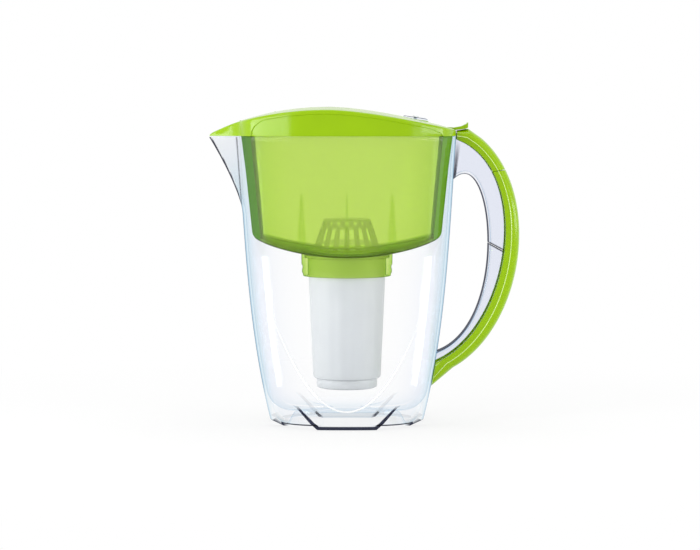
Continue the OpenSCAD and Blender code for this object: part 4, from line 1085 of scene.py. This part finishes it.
def makeHatch():
    around = spread(0, 2 * math.pi, 144)[:-1]
    pocket = dial["radius"] + 0.5
    power = 2 / lid["hatchPower"]

    def outline(t, share, drop):
        c, s = math.cos(t), math.sin(t)
        rim = Vector((hatchMiddle + hatchLong * math.copysign(abs(c) ** power, c),
                      lid["hatchHalf"] * math.copysign(abs(s) ** power, s), 0))
        ring = dialPlace @ Vector(((pocket + 0.4) * c, (pocket + 0.4) * s, 0))
        spot = ring.lerp(rim, share)
        return Vector((spot.x, spot.y, lidTop(spot.x, spot.y) - drop))

    def dialRing(t, radius, z):
        return dialPlace @ Vector((radius * math.cos(t), radius * math.sin(t), z))

    hole = dial["rivet"] + 0.1
    wall = lid["wall"]
    rings = [[dialRing(t, r, dial["floor"]) for t in around] for r in (hole, mix(hole, pocket, 0.5), pocket)]
    rings += [[dialRing(t, pocket, z) for t in around] for z in (dial["floor"] + 0.1, -0.35)]
    rings += [[dialRing(t, pocket + 0.12, -0.08) for t in around]]
    rings += [[outline(t, share, 0) for t in around]
              for share in (0, 0.05, 0.15, 0.3, 0.45, 0.6, 0.75, 0.88, 0.97)]
    rings += [[outline(t, 1 - 0.006 * (1 - math.sin(u)), 0.5 * (1 - math.cos(u))) for t in around]
              for u in spread(0, math.pi / 2, 3)[1:]]
    rings += [[outline(t, share, wall) for t in around] for share in (1, 0.9, 0.6, 0.3, 0.08)]
    boss = pocket + 1.6
    rings += [[dialRing(t, r, dial["floor"] - dial["boss"]) for t in around]
              for r in (boss, mix(hole, boss, 0.5), hole)]
    bm = skin(rings, joined=True)[0]
    pinX, barrelTop = lid["pinX"], hatchPinZ + lid["barrel"]
    addTo(bm, barrelPiece(pinX, hatchPinZ, lid["barrel"], lid["barrelHalf"]))
    knuckle = prism([(pinX, hatchPinZ - 0.4), (pinX, barrelTop - 0.05), (pinX + 2.4, barrelTop),
                     (pinX + 5, barrelTop - 0.1), (pinX + 5, hatchPinZ)], lid["barrelHalf"] - 0.05)
    addTo(bm, soften(knuckle, 0.3, 50))
    tip, high = rimHalf + lid["tabReach"], jug["height"] + lid["tabHeight"]
    end, root = lid["hatchEnd"], lid["hatchEnd"] - 8
    tab = prism([(root, crown(root) - 1.6), (end, tabLow + 0.6), (rimHalf, tabLow), (tip - 2, tabLow + 0.9),
                 (tip, tabLow + 1.9), (tip, high), (tip - 1.4, high - 1.6), (tip - 3, tabLow + 4.4),
                 (tip - 5.4, tabLow + 3.2), (rimHalf - 2, tabLow + 2), (end, crown(end) - 0.1),
                 (root, crown(root) - 0.3)], lid["tabHalf"])
    addTo(bm, soften(tab, 0.45, 20))
    return finishPiece(bm, "flip_lid", "hatch", [lime], ["hatch"], angle=32)


def makeDial():
    radius, height, bend = dial["radius"], dial["height"], dial["round"]
    low = dial["floor"] + dial["scale"] + 0.35
    bore = dial["rivet"] + 0.05
    profile = [(bore, 0), (radius - 0.3, 0), (radius, 0.3)]
    profile += [(radius - bend * (1 - math.cos(t)), height - bend * (1 - math.sin(t)))
                for t in spread(0, math.pi / 2, 4)]
    profile += [(bore, height)]
    cover = turned(profile, 96)
    grip = block(radius - dial["rivetHead"] - 2.1, 2, 1.2)
    away = mix(dial["rivetHead"] + 0.6, radius - 1.5, 0.5)
    bmesh.ops.translate(grip, vec=(away, 0, height), verts=grip.verts)
    addTo(cover, soften(grip, 0.4, 30))
    thick = cover.verts.layers.float.new("thickEdgeShade")
    # painted shade: the top of the knob's rim is marked for a dark blue outline
    for v in cover.verts:
        atRim = math.hypot(v.co.x, v.co.y) > radius - 1
        v[thick] = 0.9 if atRim and v.co.z > height - 0.3 else 0
    bmesh.ops.translate(cover, vec=(0, 0, low), verts=cover.verts)
    bmesh.ops.transform(cover, matrix=dialPlace, verts=cover.verts)
    finishPiece(cover, "dial_knob", "dial", [clearHandle], ["dial_cover"], angle=35)

    hole, scale = dial["rivet"] + 0.2, dial["scale"]
    disc = turned([(hole, 0), (radius - 0.3, 0), (radius - 0.2, 0.1), (radius - 0.2, scale - 0.1),
                   (radius - 0.3, scale), (hole, scale)], 96)
    top = dial["floor"] + 0.05 + scale
    bmesh.ops.translate(disc, vec=(0, 0, top - scale), verts=disc.verts)
    bmesh.ops.transform(disc, matrix=dialPlace, verts=disc.verts)
    finishPiece(disc, "dial_disc", "hatch", [card], ["dial_scale"], angle=35)
    marks = bmesh.new()
    for number in range(dial["numbers"]):
        turn = dialPlace @ Matrix.Rotation(-2 * math.pi * number / dial["numbers"], 4, "Z")
        words = bpy.data.curves.new("number", "FONT")
        words.body = str(number + 1)
        words.size = dial["numberSize"]
        words.align_x, words.align_y = "CENTER", "CENTER"
        words.extrude = 0.02
        figure = addObject("number", words)
        depsgraph = bpy.context.evaluated_depsgraph_get()
        mesh = bpy.data.meshes.new_from_object(figure.evaluated_get(depsgraph))
        bpy.data.objects.remove(figure)
        bpy.data.curves.remove(words)
        flat = bmesh.new()
        flat.from_mesh(mesh)
        bpy.data.meshes.remove(mesh)
        for mark, far in ((flat, dial["figureIn"]), (block(0.3, 1, 0.04), dial["tickIn"])):
            spot = Matrix.Translation((0, radius - far, top + 0.03))
            bmesh.ops.transform(mark, matrix=turn @ spot, verts=mark.verts)
            addTo(marks, mark)
    finishPiece(marks, "dial_figures", "hatch", [ink], angle=35)


makeHatch()
makeDial()

# ---- spout cover ----


def flapSection(y):
    back, front = flapBack(y), spoutEdgeX(y) + 0.4
    inner = front + lid["wall"]

    def top(x, drop):
        return Vector((x, y, lidTop(x, y) - drop))

    over = [top(back, 0.5), top(back - 0.3, 0.1), top(back - 0.8, 0)]
    over += [top(mix(back - 0.8, front, t), 0.35 * t ** 3) for t in spread(0.1, 0.9, 10)]
    over += [top(mix(back, front, 0.96), 0.7), top(front, 1.5)]
    return over + [Vector((front, y, lidLow)), Vector((inner, y, lidLow)), top(inner, lid["wall"] + 0.4),
                   top(mix(inner, back, 0.5), lid["wall"]), top(back, lid["wall"])]


def makeFlap():
    shares = [math.sin(t) for t in spread(-math.pi / 2, math.pi / 2, 48)]
    bm = skin([flapSection(lid["flapHalf"] * share) for share in shares])[0]
    pinX, start, half = lid["flapPinX"], flapStart - 1.5, lid["flapBarrelHalf"]
    addTo(bm, barrelPiece(pinX, flapPinZ, lid["flapBarrel"], half))
    knuckle = prism([(start, flapPinZ - 0.6), (pinX, flapPinZ - 0.6), (pinX, flapPinZ + 1.4),
                     (start, flapPinZ + 1.4)], half - 0.05)
    addTo(bm, soften(knuckle, 0.3, 50))
    return finishPiece(bm, "spout_cover", "spout_flap", [lime], ["spout_flap"], angle=32)


makeFlap()

# ---- CAD nodes that stay, with their finishes ----

kept = {
    "cartridge_seal": rubber, "inlet_screen": screen, "carbon_bed": carbon, "hatch_pin": steel,
    "flap_pin": steel, "dial_rivet": white,
}
for name, finish in kept.items():
    mesh = nodes[name].data
    mesh.materials.clear()
    mesh.materials.append(finish)
    print("finished", name)

# ---- stage ----

stage = {   # metres and watts
    "floorSize": 12.0, "floorLow": 0.0002, "cameraFar": 2.0, "cameraHigh": 0.256, "lookX": 0.0026,
    "lookZ": 0.127, "lens": 121, "middle": (0, 0, 0.13), "lidLevel": (0, 0, 0.25),
}


def straightSeen(tree):   # 1 for what the camera sees, also by gloss or through the clear walls, else 0
    path = addNode(tree, "ShaderNodeLightPath").outputs
    seen = calc(tree, "ADD", path["Is Camera Ray"], path["Is Glossy Ray"])
    return calc(tree, "ADD", seen, path["Is Transmission Ray"], use_clamp=True)


# Seamless white studio paper: pale, keeps a soft shadow round the jug and is plain white beyond it.
def paper(name):
    material, tree = newMaterial(name)
    away = addNode(tree, "ShaderNodeVectorMath", {0: objectPlace(tree)}, operation="LENGTH").outputs["Value"]
    fade = between(tree, away, 0.8, 1.0, fromMin=0.2, fromMax=0.55)
    share = calc(tree, "MULTIPLY", straightSeen(tree), fade)
    lit = addNode(tree, "ShaderNodeBsdfDiffuse", {"Color": grey(0.86)}).outputs[0]
    plain = addNode(tree, "ShaderNodeEmission", {"Color": grey(1.0), "Strength": 1.0}).outputs[0]
    return finished(material, addNode(tree, "ShaderNodeMixShader", {0: share, 1: lit, 2: plain}))


floorMesh = bmesh.new()
bmesh.ops.create_grid(floorMesh, x_segments=1, y_segments=1, size=stage["floorSize"] / 2)
mesh = meshFrom(floorMesh, "floor")
floor = addObject("floor", mesh)
floor.location.z = -stage["floorLow"]
mesh.materials.append(paper("whitePaper"))

world = bpy.data.worlds.new("studio")
bpy.context.scene.world = world
world.use_nodes = True
air = world.node_tree
air.nodes.clear()
level = between(air, straightSeen(air), 0.5, 1.0)
light = addNode(air, "ShaderNodeBackground", {"Color": grey(1.0), "Strength": level})
addNode(air, "ShaderNodeOutputWorld", {"Surface": light.outputs[0]})


def softbox(name, place, target, wide, high, watts):
    data = bpy.data.lights.new(name, "AREA")
    data.shape, data.size, data.size_y, data.energy = "RECTANGLE", wide, high, watts
    lamp = addObject(name, data)
    lamp.location = place
    lamp.rotation_euler = (Vector(target) - Vector(place)).to_track_quat("-Z", "Y").to_euler()
    lamp.visible_camera = False
    return lamp


softbox("keyLeft", (-1.5, -1.5, 1.5), stage["middle"], 1.0, 1.0, 16)
softbox("fillRight", (1.6, -1.3, 0.9), stage["middle"], 0.8, 1.4, 9)
softbox("top", (0, 0.1, 1.8), stage["middle"], 1.4, 1.0, 13)
# the lid's panel shows these two as its pale ends
softbox("stripLeft", (-1.45, -0.65, 0.27), stage["lidLevel"], 2.2, 0.3, 16)
softbox("stripRight", (1.55, -0.35, 0.27), stage["lidLevel"], 1.4, 0.3, 10)

lens = bpy.data.cameras.new("photoView")
lens.lens, lens.clip_start, lens.clip_end = stage["lens"], 0.05, 50
camera = addObject("photoView", lens)
camera.location = (stage["lookX"], -stage["cameraFar"], stage["cameraHigh"])
look = Vector((stage["lookX"], 0, stage["lookZ"]))
camera.rotation_euler = (look - camera.location).to_track_quat("-Z", "Y").to_euler()
bpy.context.scene.camera = camera

scene = bpy.context.scene
scene.view_settings.view_transform = "Standard"
scene.cycles.max_bounces = 16
scene.cycles.transparent_max_bounces = 32
print("stage ready")
